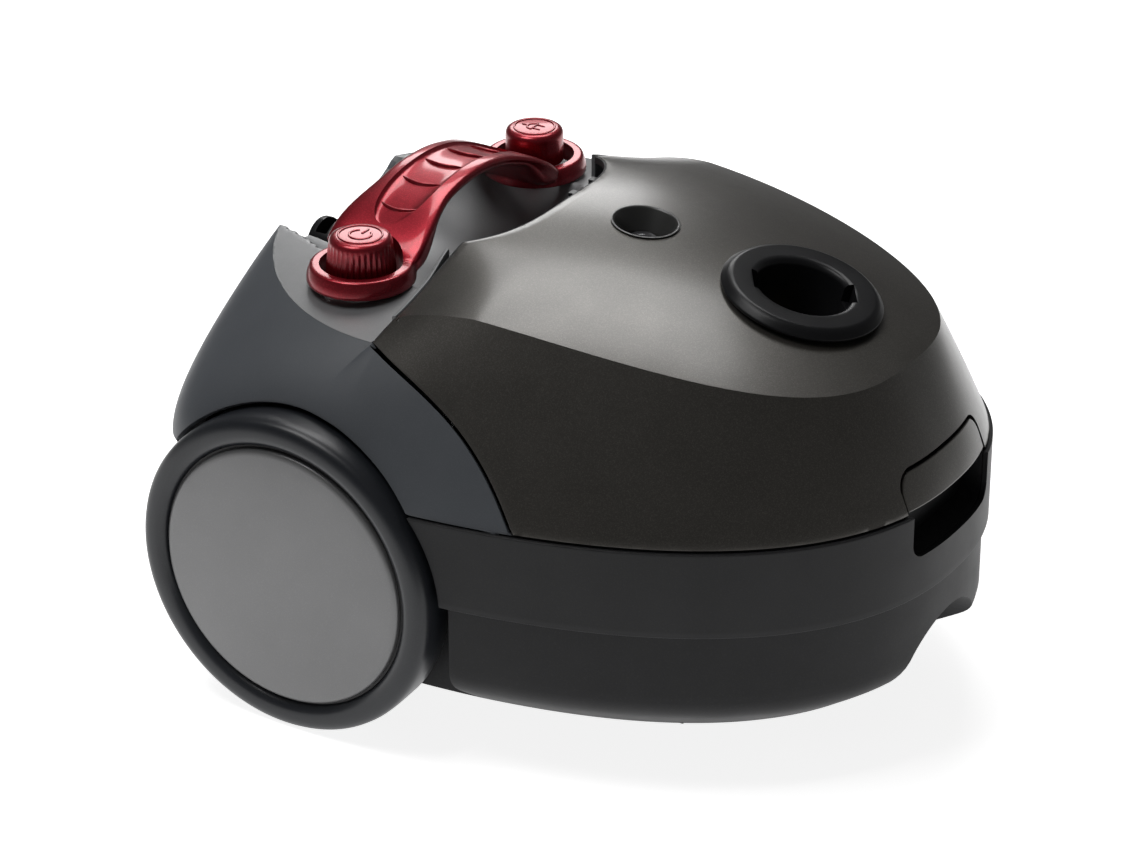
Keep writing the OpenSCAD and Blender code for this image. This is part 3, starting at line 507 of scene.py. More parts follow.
# Near-black for the wheel hubs; on the lid's rear-edge strip and the wheel-arch liners it is painted shade.
HUB_BLACK_AND_PAINTED_SHADE = material("hub_black_and_painted_shade", (0.012, 0.012, 0.013), rough=0.65, grain=0.02, grain_size=0.8)


def finish_piece(piece, look, body, slot_name, *nodes):
    """Gives the piece its material and its body, and hides the CAD nodes that it stands for; slot_name is not used."""
    piece.data.materials.clear()
    piece.data.materials.append(look)
    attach(piece, body)
    if nodes:
        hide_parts(*nodes)
    return piece


# ---------------- lid

FLANK_LEVELS = np.concatenate([np.linspace(0, 0.9, 27),
                               [0.925, 0.945, 0.962, 0.975, 0.984, 0.991, 0.996, 1.0]])


def side_strip(angles, low, high, levels=FLANK_LEVELS):
    """Rows of points up the flank: every column runs from low(t) to high(t)."""
    made = []
    for u in levels:
        x, y, z = flank(angles, low + (high - low) * u)
        made.append(np.stack([x, y, z], 1))
    return made


def make_lid():
    half = even_angles(0, math.radians(89.93), 150)
    angles = np.concatenate([-half[:0:-1], half])
    low = level_where(angles, lambda x: joint_height(x, 0.1))
    rows = side_strip(angles, low, np.ones_like(low))
    for row in rows:
        row[:, 2] += 0.8 * np.clip((130 - row[:, 2]) / 11, 0, 1) * (low < 1e-6)
    points = np.concatenate(rows)
    faces = grid(len(rows), len(angles))

    # Crown: from the crease straight back to the rear edge, one row of points for each column of the flank.
    top = angles[np.abs(angles) <= LID_END + 1e-6]
    kx, ky, kz = crease(top)
    ky = ky * np.sign(top + 1e-12)
    share = np.concatenate([[0, 0.008, 0.02, 0.04], np.linspace(0.07, 1, 44)])
    crown = []
    for s in share:
        x = kx + (np.minimum(lid_rear_x(ky), kx - 0.01) - kx) * s
        crown.append(np.stack([x, ky, top_height(x, ky)], 1))
    offset = len(points)
    points = np.concatenate([points, *crown])
    faces += grid(len(share), len(top), offset)
    lid = new_object("lid_skin", points, faces)
    tidy_mesh(lid, 0.05)
    return lid


lid = make_lid()
solidify(lid, WALL)
if lid.data.polygons and sum(p.normal.z for p in lid.data.polygons if p.center.z > 0.2) < 0:
    lid.data.flip_normals()
for v in lid.data.vertices:
    x, y, z = v.co / MM
    if x < -50 and 94 < abs(y) < 103 and z > 180:
        v.co.z = min(z, float(top_height(x, y)) - 0.05) * MM
bevel(lid, 0.55, 2, 50)
boolean(lid, cylinder(27, -60, 40, 96, SOCKET_PLACE, "Z", SOCKET_TILT))
boolean(lid, cylinder(14.2, -30, 30, 64, DISH_PLACE, "Z", DISH_TILT))
latch_outline = [(-36.5, 105), (36.5, 105)] + [p for p in rounded_rect(36.5, 100, 137.5, 9.5) if p[1] > 128]
boolean(lid, prism("cut", latch_outline, 120, 180, "X"))
shade(lid, 30)

arms = []
for side in (-1, 1):
    y0, y1 = sorted((side * 31, side * 43))
    arms.append(turned("arm", smooth_profile([(2.1, 0), (5, 0), (5, 12), (2.1, 12)], 0.5), 40,
                       (HINGE[0], y0, HINGE[1]), "Y"))
    arms.append(block("arm", (HINGE[0] + 4, y0, HINGE[1] - 5), (-24, y1, HINGE[1] + 3)))
    arms.append(block("arm", (-29, y0, HINGE[1]), (-24, y1, 204.2)))
    y0, y1 = sorted((side * 12, side * 14.5))
    arms.append(block("ear", (138, y0, 137.7), (147.4, y1, 147), 0.4))
    arms.append(block("ear", (127, y0, 143), (140, y1, 147), 0.4))
arms.append(block("rib", (126, -14.5, 143), (127.7, 14.5, 173.5), 0.4))
flange = smooth_profile([(24.2, -14), (30, -14), (30, -5.5), (24.2, -5.5), (24.2, -14)], 0.5)
arms.append(turned("flange", flange, 72, SOCKET_PLACE, "Z", SOCKET_TILT))
lid_frame = join(arms, "lid_frame")


def make_gap_shade_strip():
    """Painted shade: a black strip along the lid's rear edge, just below its upper face, and down the slope at its
    corners, standing in for the shadowed gap there.
    """
    y = 99.2 * np.sin(np.linspace(-math.pi / 2, math.pi / 2, 181))
    x, top = lid_rear_x(y) - 0.12, top_height(lid_rear_x(y), y) - 0.15
    corner_x, corner_y, corner_z = crease(np.radians([89.7, 88.9, 87.9, 87.0]))
    x = np.concatenate([corner_x - 0.6, x, corner_x[::-1] - 0.6])
    y = np.concatenate([-corner_y + 1.1, y, corner_y[::-1] - 1.1])
    top = np.concatenate([corner_z - 0.5, top, corner_z[::-1] - 0.5])
    width = 0.95
    along = np.stack([np.gradient(x), np.gradient(y)], 1)
    along /= np.linalg.norm(along, axis=1)[:, None]
    points = []
    for i in range(len(y)):
        for out, down in ((0, 0.2), (0.15, 0), (0.85, 0.1), (1, 0.4), (1, 3.2), (0, 3.2)):
            points.append((x[i] - along[i, 1] * out * width, y[i] + along[i, 0] * out * width, top[i] - down))
    seal = new_object("lid_gap_shade_strip", points, tube(len(y), 6))
    tidy_mesh(seal, 0.001)
    return seal


# The black strip is painted shade for the gap behind the lid's rear edge.
finish_piece(make_gap_shade_strip(), HUB_BLACK_AND_PAINTED_SHADE, "lid", "lid_paint")
finish_piece(lid, LID_PAINT, "lid", "lid_paint", "dust_lid")
finish_piece(lid_frame, LID_PAINT, "lid", "lid_paint")


# ---------------- rear shell and deck

SHELL_LEVELS = np.concatenate([np.linspace(0, 0.94, 26), [0.955, 0.968, 0.978, 0.986, 0.992, 0.996, 1.0]])


def make_shell_side():
    """The left half of the rear shell, from the joint line round to the middle of the tail."""
    first = math.radians(66.9)
    front = even_angles(first, SIDE_END, 60)
    rear = even_angles(SIDE_END, math.pi, 90)
    angles = np.concatenate([front, rear[1:]])
    high = np.where(angles < SIDE_END - 1e-9, level_where(angles, lambda x: joint_height(x, -1.3)), 1.0)
    bx, _ = oval(BELT_SHAPE, angles)
    over_wheel = np.abs(bx - AXLE.x) < 63
    low = np.where(over_wheel, level_where(angles, arch_height), 0.0)
    rows = side_strip(angles, np.minimum(low, high), high, SHELL_LEVELS)
    for row in rows:
        row[:, 2] += 0.4 * (row[:, 2] < BELT_Z + 0.3)
    points = np.concatenate(rows)
    return points, len(rows), len(angles)


side_points, side_rows, side_columns = make_shell_side()
left = new_object("shell", side_points, grid(side_rows, side_columns))
right = mirrored(left, "shell_right")
shell = join([left, right], "rear_shell_skin")
tidy_mesh(shell, 0.04)
solidify(shell, WALL)
bevel(shell, 0.45, 2, 50)
boolean(shell, block("cut", (-185, -CLIP_HALF, 133.5), (-148, CLIP_HALF, 230), 0))
shade(shell, 30)

# Wheel-arch liners: shell plastic made near-black, painted shade inside the arch.
arch_parts = []
liner_r = ARCH_R + 0.15
for side in (-1, 1):
    sweep = np.radians(np.linspace(-32, 212, 110))
    ring = []
    for y in (WELL_Y - 1, 122, 128, 134, 139, 143, 146.5):
        for a in sweep:
            x, z = AXLE.x + liner_r * math.cos(a), AXLE.z + liner_r * math.sin(a)
            ring.append((x, side * y, z))
    made = new_object("arch", ring, grid(7, len(sweep)))
    bm = bmesh.new()
    bm.from_mesh(made.data)
    reach = []
    t_at = np.linspace(0.9, math.pi, 800)
    for f in bm.faces:
        low_z = min(v.co.z for v in f.verts) / MM
        h = np.clip((low_z - BELT_Z) / 60, 0, 1)
        fx, fy, _ = flank(t_at, np.full_like(t_at, h))
        outside = any(abs(v.co.y / MM) > fy[np.argmin(np.abs(fx - v.co.x / MM))] - 2.9 for v in f.verts)
        if low_z < BELT_Z - 1.5 or outside:
            reach.append(f)
    bmesh.ops.delete(bm, geom=reach, context="FACES")
    bm.to_mesh(made.data)
    bm.free()
    solidify(made, 1.6, 1.0)
    arch_parts.append(made)
arches = join(arch_parts, "wheel_arch_liners")
tidy_mesh(arches, 0.01)
shade(arches)


def make_front_rim(side):
    """Upright rim along the deck's front edge, which closes the step up to the lid."""
    y = np.linspace(60.5, 99.4, 60)
    front = lid_rear_x(y) - 1.4 - 2.6 * (1 - ease((y - 60) / 20))
    top = top_height(lid_rear_x(y), y) - 0.5
    foot = deck_height(front, y) - 1.2
    points = []
    for i in range(len(y)):
        for back, drop in ((0, 0.6), (0.25, 0.15), (0.8, 0), (1.4, 0.15), (1.8, 0.7)):
            points.append((front[i] - back, side * y[i], top[i] - drop))
        points += [(front[i] - 1.8, side * y[i], foot[i]), (front[i], side * y[i], foot[i])]
    rim = new_object("deck_front_rim", points, tube(len(y), 7))
    tidy_mesh(rim, 0.001)
    return rim


finish_piece(join([make_front_rim(-1), make_front_rim(1)], "deck_front_rims"), DECK, "body", "deck_plastic")

DECK_ROWS, DECK_COLUMNS = 150, 96
row_y = 109.85 * np.sin(np.linspace(-math.pi / 2, math.pi / 2, DECK_ROWS))
deck_points = []
for y in row_y:
    rear_x = -62 - 100.85 * max(0.0, 1 - (abs(y) / 109.85) ** 2.1) ** (1 / 2.1)
    front_x = float(lid_rear_x(np.array(y))) - 2.3
    front_x = min(front_x, -58.2 - 4.6 * float(ease((abs(y) - 99) / 11))) if abs(y) > 99 else front_x
    x = rear_x + (max(front_x, rear_x + 0.01) - rear_x) * np.linspace(0, 1, DECK_COLUMNS)
    z = deck_height(x, np.full_like(x, y))
    deck_points.append(np.stack([x, np.full_like(x, y), z], 1))
deck_points = np.concatenate(deck_points)
deck = new_object("grip_deck_skin", deck_points, grid(DECK_ROWS, DECK_COLUMNS, flip=True))
tidy_mesh(deck, 0.05, False)
if sum(p.normal.z for p in deck.data.polygons) < 0:
    deck.data.flip_normals()
solidify(deck, WALL)
bevel(deck, 0.3, 2, 55)
boolean(deck, block("cut", (-185, -CLIP_HALF, 130), (-148, CLIP_HALF, 230), 0))
for side in (-1, 1):
    boolean(deck, cylinder(6.3, 140, 230, 48, (KNOB_X, side * KNOB_Y, 0)))
    y0, y1 = sorted((side * 26, side * 48))
    boolean(deck, block("cut", (-53, y0, 186), (-20, y1, 222), 0))
shade(deck, 35)
finish_piece(shell, SHELL, "body", "shell_plastic", "rear_shell")
# The arch liners' near-black is painted shade inside the wheel arch.
finish_piece(arches, HUB_BLACK_AND_PAINTED_SHADE, "body", "shell_plastic")
finish_piece(deck, DECK, "body", "deck_plastic", "grip_deck")


# ---------------- bumper band and tub

OUTWARD = {1: "Y", -1: "-Y"}      # the axis that points away from the middle, for each side


def band_end(z):
    """Belt angle at which the band stops beside the wheel arch, at height z."""
    x = AXLE.x + math.sqrt(max(0.0, ARCH_R ** 2 - (z - AXLE.z) ** 2))
    low, high = 0.5, SIDE_END
    for _ in range(40):
        middle = (low + high) / 2
        if float(oval(BELT_SHAPE, np.array(middle))[0]) > x:
            low = middle
        else:
            high = middle
    return middle


def make_band():
    middle = np.linspace(BAND_LOW + 2, BELT_Z - 1.5, 20)
    heights = np.concatenate([[BAND_LOW, BAND_LOW + 0.5], middle, [BELT_Z - 0.4]])
    reference = even_angles(0, 1.25, 130) / 1.25
    reference = np.concatenate([-reference[:0:-1], reference])
    points = []
    for z in heights:
        t = reference * band_end(z)
        x, y = oval(BELT_SHAPE, np.abs(t), 1.75)
        points += [(a, b * s, z) for a, b, s in zip(x, y, np.where(t < 0, -1, 1))]
    band = new_object("bumper_band_skin", points, grid(len(heights), len(reference)))
    tidy_mesh(band, 0.01)
    solidify(band, 2.3)
    bevel(band, 0.7, 3, 50)
    outline = rounded_rect(35, 98, 150, 7, 8)
    boolean(band, prism("cut", outline, 120, 190, "X"))
    shade(band, 30)
    return band


band = make_band()
finish_piece(band, BAND, "body", "band_plastic", "bumper_band")

SCREW_PLACES = ((-148, 104), (-148, -104), (-70, 109), (-70, -109))
TUB_ROUND = [(0, 27.5), (0.5, 26.5), (1.5, 25), (3.4, 22), (6, 18.8), (9, 14.6), (12, 10.6), (14.6, 7.3),
             (17, 4.6), (19, 2.9), (21, 1.6), (23.5, 0.5), (26, 0)]


def tub_form(name, inset, floor_z, top_z):
    half = even_angles(0, math.pi, 130)
    angles = np.concatenate([half, -half[-2:0:-1]])
    rings = [(floor_z + h, inset + i) for h, i in TUB_ROUND]
    rings += [(z, inset) for z in np.linspace(floor_z + 30, top_z, 7)]
    points = []
    for z, i in rings:
        x, y = oval(BELT_SHAPE, np.abs(angles), -i)
        points += [(a, b * s, z) for a, b, s in zip(x, y, np.where(angles < 0, -1, 1))]
    made = new_object(name, points, tube(len(rings), len(angles)))
    tidy_mesh(made, 0.001)
    return made


def well_tools(grow):
    tools = []
    for side in (-1, 1):
        y0 = side * (WELL_Y - grow)
        r = ARCH_R + 3.5 + grow
        tools.append(cylinder(r, 0, 62, 128, (AXLE.x, y0, AXLE.z), OUTWARD[side]))
        low, high = sorted((y0, side * 178))
        tools.append(block("cut", (AXLE.x - ARCH_R - 14, low, -6), (AXLE.x + r - 0.02, high, AXLE.z), 0))
    return tools


def recess_tools(grow):
    x, r, top = 112, 40 + grow, 60 + grow
    bend = [((r - 1) * math.cos(a), 21 + (r - 1) * math.sin(a)) for a in np.linspace(0, math.pi, 41)]
    arch = [(r - 1, -6)] + bend + [(-r + 1, -6)]
    dome = [(0, -6), (r, -6), (r, top - 3), (r - 1, top - 1), (r - 3, top), (0, top)]
    return [turned("cut", dome, 96, (x, 0, 0)), prism("cut", arch, x, x + 72, "X")]


def make_tub():
    tub = tub_form("tub_skin", 0.8, TUB_Z, BELT_Z)
    cavity = tub_form("cavity", 0.8 + WALL, TUB_Z + WALL, BELT_Z + 6)
    for tool in well_tools(WALL) + recess_tools(WALL):
        boolean(cavity, tool)
    boolean(cavity, prism("cut", rounded_rect(37, 96, 160, 7), 145, 190, "X"))
    boolean(cavity, block("cut", (-22, -150, 0), (-19.4, 150, 130), 0))
    for x, y in SCREW_PLACES:
        boolean(cavity, cylinder(6.5, 10, 200, 40, (x, y, 0)))
    for tool in well_tools(0) + recess_tools(0):
        boolean(tub, tool)
    boolean(tub, prism("cut", rounded_rect(35, 98, 150, 7), 147, 190, "X"))
    boolean(tub, cavity)
    boolean(tub, block("cut", (-176, -50, 48), (-150, 50, 106), 0))
    boolean(tub, cylinder(9.3, -8, 14, 48, (-162, 68, 60), "X"))
    boolean(tub, cylinder(24, -8, 8, 64, (-21, -48, 78), "X"))
    for side in (-1, 1):
        boolean(tub, cylinder(6.1, 0, 30, 40, (AXLE.x, side * 100, AXLE.z), OUTWARD[side]))
    boolean(tub, cylinder(6.1, 0, 20, 40, (112, 0, 50)))
    for x, y in SCREW_PLACES:
        boolean(tub, cylinder(4.6, 0, 100, 32, (x, y, 0)))
    shade(tub, 30)
    return tub


tub = make_tub()
wall_outline = [(-114, 118.5), (114, 118.5), (112, 143), (95, 167), (84, 183), (48, 190), (-48, 190),
                (-84, 183), (-95, 167), (-112, 143)]
inner = [prism("wall", wall_outline, -22, -19.4, "X", 0.3),
         block("bar", (130, -14, 112), (135.2, 14, 116)),
         block("bar", (130, 12, 106), (144.9, 14.5, 118)), block("bar", (130, -14.5, 106), (144.9, -12, 118)),
         block("cradle", (-144.5, -78, 21), (-141, -18, 106), 0.5),
         block("post", (66, 88, 30), (82, 99, 100), 0.8), block("post", (66, -99, 30), (82, -88, 100), 0.8),
         block("post", (67, 84, 22), (81, 91, 32), 0.8), block("post", (67, -91, 22), (81, -84, 32), 0.8),
         turned("post", [(6.1, 60), (11, 60), (11, 80), (6.1, 80), (6.1, 60)], 48, (112, 0, 0))]
tub_inside = join(inner, "tub_inside")
finish_piece(tub, TUB, "body", "tub_plastic", "tub")
finish_piece(tub_inside, TUB, "body", "tub_plastic")


# ---------------- wheels

def make_wheel(side, word):
    axis = OUTWARD[side]
    body = "wheel_left" if side > 0 else "wheel_right"
    place = (AXLE.x, 0, AXLE.z)
    rim_profile = [(61.6, 128.5), (66, 128.2), (70, 128), (72.6, 129.2), (73.6, 132), (73.85, 138), (74, 144),
                   (73.9, 147), (73.4, 149.2), (72.4, 150.7), (70.8, 151.6), (69, 152), (66.5, 152.1),
                   (64.9, 151.8), (63.4, 151), (62.2, 149.8), (61.6, 148.6)]
    rim = turned("tyre_rim_" + word, rim_profile, 192, place, axis, closed=True)
    shade(rim, 40)
    finish_piece(rim, RIM, body, "rim_rubber", "tyre_" + word)
    disc_profile = [(0.0, 153.5), (20, 153.3), (40, 152.6), (52, 151.8), (57.2, 151.35), (58.6, 151.15),
                    (59.6, 150.7), (60.15, 150.0), (60.25, 148.7), (57, 148.7), (52, 149.6), (0.0, 150.9)]
    disc = turned("wheel_disc_" + word, disc_profile, 192, place, axis)
    shade(disc, 40)
    finish_piece(disc, DISC, body, "disc_plastic", "wheel_cover_" + word)


make_wheel(-1, "right")
make_wheel(1, "left")


# ---------------- latch button

def make_latch_button():
    """Skin that follows the nose, its edge rounded at the upper corners."""
    levels, columns = 26, 61
    points = []
    for i in range(levels):
        u = i / (levels - 1)
        z = 120.5 + 15.3 * u
        inset = 0.0 if z < 126.8 else 9.5 - math.sqrt(max(0.0, 9.5 ** 2 - (z - 126.8) ** 2))
        half = 35.3 - inset
        for j in range(columns):
            y = half * (-1 + 2 * j / (columns - 1))
            t_at = np.linspace(0, 0.5, 200)
            h = (z - BELT_Z) / 60
            fx, fy, fz = flank(t_at, np.full_like(t_at, h))
            for _ in range(3):
                h = h + (z - float(np.interp(abs(y), fy, fz))) / 60
                fx, fy, fz = flank(t_at, np.full_like(t_at, h))
            points.append((float(np.interp(abs(y), fy, fx)) - 0.1, y, z))
    made = new_object("latch_button_skin", points, grid(levels, columns))
    tidy_mesh(made, 0.05)
    if sum(p.normal.x for p in made.data.polygons) < 0:
        made.data.flip_normals()
    solidify(made, 2.7)
    bevel(made, 0.6, 3, 45)
    shade(made, 35)
    hook = [block("hook", (x0, -11, z0), (x1, 11, z1), 0.4) for x0, z0, x1, z1 in
            ((136, 108, 139.5, 152), (135.5, 108, 139.5, 111.6), (139, 122, 157, 126),
             (139, 137.5, 145.9, 143.2))]
    return made, join(hook, "latch_hook")


latch_skin, latch_hook = make_latch_button()
finish_piece(latch_skin, LID_PAINT, "latch", "lid_paint", "latch_button")
finish_piece(latch_hook, BLACK, "latch", "lid_paint")


# ---------------- hose socket and indicator

ring_profile = smooth_profile([(20.3, -34), (23.8, -34), (23.8, -4.6), (35.6, -4.6), (35.8, -3.4),
                               (33.2, -0.9), (31.6, 0.0), (23.2, 0.0), (21.6, -0.5), (20.3, -2.2), (20.3, -34)], 0.9, 5)
socket = turned("hose_socket_ring", ring_profile, 160, SOCKET_PLACE, "Z", SOCKET_TILT)
for turn in (35, 215):
    notch = block("cut", (10, -7, -9), (22.6, 7, 2), 0)
    notch.data.transform(Matrix.Translation(SOCKET_PLACE * MM) @ Matrix.Rotation(SOCKET_TILT, 4, "Y")
                         @ Matrix.Rotation(math.radians(turn), 4, "Z"))
    boolean(socket, notch)
shade(socket, 35)
finish_piece(socket, BLACK, "lid", "black_plastic", "hose_socket")

dish_profile = smooth_profile([(8.2, -16), (9.7, -16), (9.7, -7.5), (13.9, -2.2), (13.9, 0), (15.0, 0.2),
                               (15.3, 0.45), (14.4, 0.6), (13.7, 0.1), (8.3, -8.5), (8.2, -16)], 0.5, 4)
dish = turned("indicator_dish_ring", dish_profile, 96, DISH_PLACE, "Z", DISH_TILT)
shade(dish, 40)
finish_piece(dish, DISH, "lid", "black_plastic", "indicator_dish")
lens_profile = [(0.0, -6.0), (3, -6.3), (5.6, -7.2), (7.3, -8.6), (8.05, -10.2), (8.1, -12.3), (6.6, -12.3),
                (6.55, -9.7), (5.4, -8.5), (3, -7.6), (0.0, -7.3)]
lens = turned("indicator_window", lens_profile, 64, DISH_PLACE, "Z", DISH_TILT)
shade(lens, 40)
finish_piece(lens, SMOKED, "lid", "smoked_clear", "indicator_lens")


# ---------------- carry handle and knobs

STRAP_X = KNOB_X - 3              # middle of the strap along X


def strap_profile(y):
    """Half length along X and upper height of the strap at y."""
    a = abs(y)
    lift = math.cos(math.pi / 2 * min(1, a / 60)) ** 0.65
    half = 18 + 0.4 * a / 20 if a < 20 else 18.4 + 5.6 * float(ease((a - 20) / 34))
    return half, 188 + 23.8 * lift


def make_handle():
    stations = np.linspace(-58, 58, 93)
    ring_points, steps = [], 40
    for y in stations:
        half, top = strap_profile(y)
        ahead = strap_profile(y + 0.5)[1] - strap_profile(y - 0.5)[1]
        slope = math.atan(ahead)
        thick = 5.4
        skirt = (top - thick - 183) * float(ease((abs(y) - 36) / 20))
        for k in range(steps):
            a = 2 * math.pi * k / steps
            c, s = math.cos(a), math.sin(a)
            u = half * signed_power(np.array(c), 0.35)
            w = thick / 2 * float(signed_power(np.array(s), 0.5))
            ring_points.append((STRAP_X + float(u), y - w * math.sin(slope),
                                top - thick / 2 + w * math.cos(slope) - skirt * max(0.0, -s) ** 0.4))
    handle = new_object("carry_handle_body", ring_points, tube(len(stations), steps))
    tidy_mesh(handle, 0.001)
    for side in (-1, 1):
        low = 186 - 0.0009 * KNOB_Y ** 2 + 0.35
        collar = smooth_profile([(0, low - 0.2), (24.1, low - 0.2), (23.8, low + 4.0), (22.3, low + 8.2),
                                 (20.9, low + 8.2), (0, low + 8.2)], 1.4, 4)
        boolean(handle, turned("collar", collar, 96, (KNOB_X, side * KNOB_Y, 0)), "UNION")
    m = handle.modifiers.new("skin", "REMESH")
    m.mode = "VOXEL"
    m.voxel_size = 0.75 * MM
    apply_modifiers(handle)
    m = handle.modifiers.new("soften", "SMOOTH")
    m.factor, m.iterations = 0.5, 7
    apply_modifiers(handle)
    for side in (-1, 1):
        bore = smooth_profile([(0, 181.2), (18.2, 181.2), (18.8, 230), (0, 230)], 0.8)
        boolean(handle, turned("cut", bore, 96, (KNOB_X, side * KNOB_Y, 0)))
    return handle


def strap_ridge(y_middle, length, bow, high):
    """One thin curved ridge across the strap's recess."""
    points, faces, steps = [], [], 26
    for i in range(steps + 1):
        u = -1 + 2 * i / steps
        x = STRAP_X + length * u
        y = y_middle - bow * (1 - u * u)
        top = strap_profile(y)[1]
        taper = 0.25 + 0.75 * (1 - u ** 4)
        for k in range(9):
            a = math.pi * k / 8
            rise = (1.9 + high) * taper * math.sin(a) * 0.75
            points.append((x, y + 0.75 * taper * math.cos(a), top - 2.3 + rise))
    return new_object("ridge", points, grid(steps + 1, 9))


handle = make_handle()


def make_recess_cutter():
    """The long hollow in the strap's upper face: its floor, and a lid well above the strap."""
    rows, columns, half, reach, deep = 80, 25, 12.2, 49.2, 1.9
    floor, ceiling = [], []
    for y in np.linspace(-49, 49, rows):
        end = (1 - min(1.0, abs(y / reach)) ** 5) ** 0.5
        top = strap_profile(y)[1]
        for k in range(columns):
            u = -1 + 2 * k / (columns - 1)
            dip = deep * (1 - abs(u) ** 6) ** 0.5 * (0.25 + 0.75 * end)
            floor.append((STRAP_X + half * end * u, y, top - dip))
            ceiling.append((STRAP_X + half * end * u, y, top + 6))
    cutter = new_object("cut", floor + ceiling, slab(rows, columns))
    tidy_mesh(cutter, 0.01)
    return cutter


boolean(handle, make_recess_cutter())
shade(handle, 40)
ridges = join([strap_ridge(y, 10.6, 3.2, 0.5) for y in (-36, -18, 0, 18, 36)], "carry_handle_ridges")
shade(ridges, 60)
finish_piece(handle, RED, "body", "handle_paint", "carry_handle")
finish_piece(ridges, RED, "body", "handle_paint")


def symbol_ring(place, z, r, wide, start, end, steps=64):
    """A raised flat arc, in degrees."""
    points, faces = [], []
    section = [(-wide / 2, -0.5), (-wide / 2, 0.28), (-wide / 4, 0.42), (wide / 4, 0.42), (wide / 2, 0.28),
               (wide / 2, -0.5)]
    for i in range(steps + 1):
        a = math.radians(start + (end - start) * i / steps)
        for s, h in section:
            points.append((place[0] + (r + s) * math.cos(a), place[1] + (r + s) * math.sin(a), z + h))
    faces = grid(steps + 1, len(section))
    faces += [tuple(range(6))[::-1], tuple(range(steps * 6, steps * 6 + 6))]
    return new_object("mark", points, faces)


def symbol_bar(low, high, z):
    return block("mark", (*low, z - 0.5), (*high, z + 0.4), 0.2)


def make_power_knob():
    """Cap with a rounded edge over a ribbed skirt, and a raised power symbol in a circle."""
    cap_high = 18.5
    x, y, base = KNOB_X, -KNOB_Y, KNOB_TOP - cap_high
    ribs, per = 36, 8
    rows = [(15.35, 1.0), (15.3, 3), (14.9, 7), (14.5, 11), (14.15, 14.2), (13.9, 15.6), (13.6, 16.8),
            (12.9, 17.8), (11.7, 18.35), (10, 18.5), (0, 18.5)]
    points = []
    for i, (r, z) in enumerate(rows):
        depth = 0.85 if i < 4 else (0.4 if i == 4 else 0.0)
        for j in range(ribs * per):
            a = 2 * math.pi * j / (ribs * per)
            phase = (j % per) / per
            cut = depth * (0.5 - 0.5 * math.cos(2 * math.pi * phase)) ** 0.6
            out = max(0.0, r - cut)
            points.append((x + out * math.cos(a), y + out * math.sin(a), base + z))
    made = new_object("power_knob_cap", points, grid(len(rows), ribs * per, wrap=True))
    tidy_mesh(made, 0.01)
    under = [(14.2, 1.0), (12.0, 14.0), (3.1, 14.0), (3.1, 4.0), (5, 4), (5, 1.0)]
    lower = turned("skirt", under, 72, (x, y, base))
    z = base + cap_high
    marks = [symbol_ring((x, y), z, 9.6, 0.9, 0, 360), symbol_ring((x, y), z, 4.9, 1.0, 125, 415),
             symbol_bar((x - 0.5, y + 1.2), (x + 0.5, y + 6.6), z)]
    made = join([made, lower] + marks, "power_knob_cap")
    shade(made, 38)
    return made


def make_rewind_button():
    """Plain cap with a raised plug symbol in a circle."""
    x, y, z = KNOB_X, KNOB_Y, 203.0
    profile = [(11.6, 187.4), (13.4, 187.4), (13.4, 199.2), (13.25, 200.8), (12.7, 202.0), (11.7, 202.7),
               (10.2, z), (0, z)]
    made = turned("rewind_button_cap", profile, 96, (x, y, 0))
    stem = turned("stem", [(5.6, 194), (5.6, 150.3), (0, 150.3)], 40, (x, y, 0))
    inner = turned("inner", [(11.6, 187.4), (11.6, 199.8), (0, 199.8)], 64, (x, y, 0))
    marks = [symbol_ring((x, y), z, 9.4, 0.9, 0, 360), symbol_ring((x, y), z, 3.4, 0.9, 90, 270, 24)]
    marks += [symbol_bar((x + x0, y + y0), (x + x1, y + y1), z) for x0, y0, x1, y1 in
              ((-0.4, -3.6, 0.5, 3.6), (0, -2.5, 4.2, -1.7), (0, 1.7, 4.2, 2.5), (-6.6, -0.45, -3.0, 0.45))]
    made = join([made, stem, inner] + marks, "rewind_button_cap")
    shade(made, 38)
    return made


finish_piece(make_power_knob(), RED, "knob", "handle_paint", "power_knob")
finish_piece(make_rewind_button(), RED, "rewind", "handle_paint", "rewind_button")


# ---------------- parking clip

def make_parking_clip():
    bend = [(12 * math.cos(a), 156 + 12 * math.sin(a)) for a in (math.pi * k / 32 for k in range(33))]
    outline = [(12, 134)] + bend + [(-12, 134)]
    made = prism("parking_clip_loop", outline, -166, -153, "X", 1.1)
    boolean(made, block("cut", (-162.6, -8.4, 137), (-156.4, 8.4, 200), 0))
    shade(made, 35)
    return made


finish_piece(make_parking_clip(), BLACK, "body", "black_plastic", "parking_clip")


# ---------------- dust bag and filters

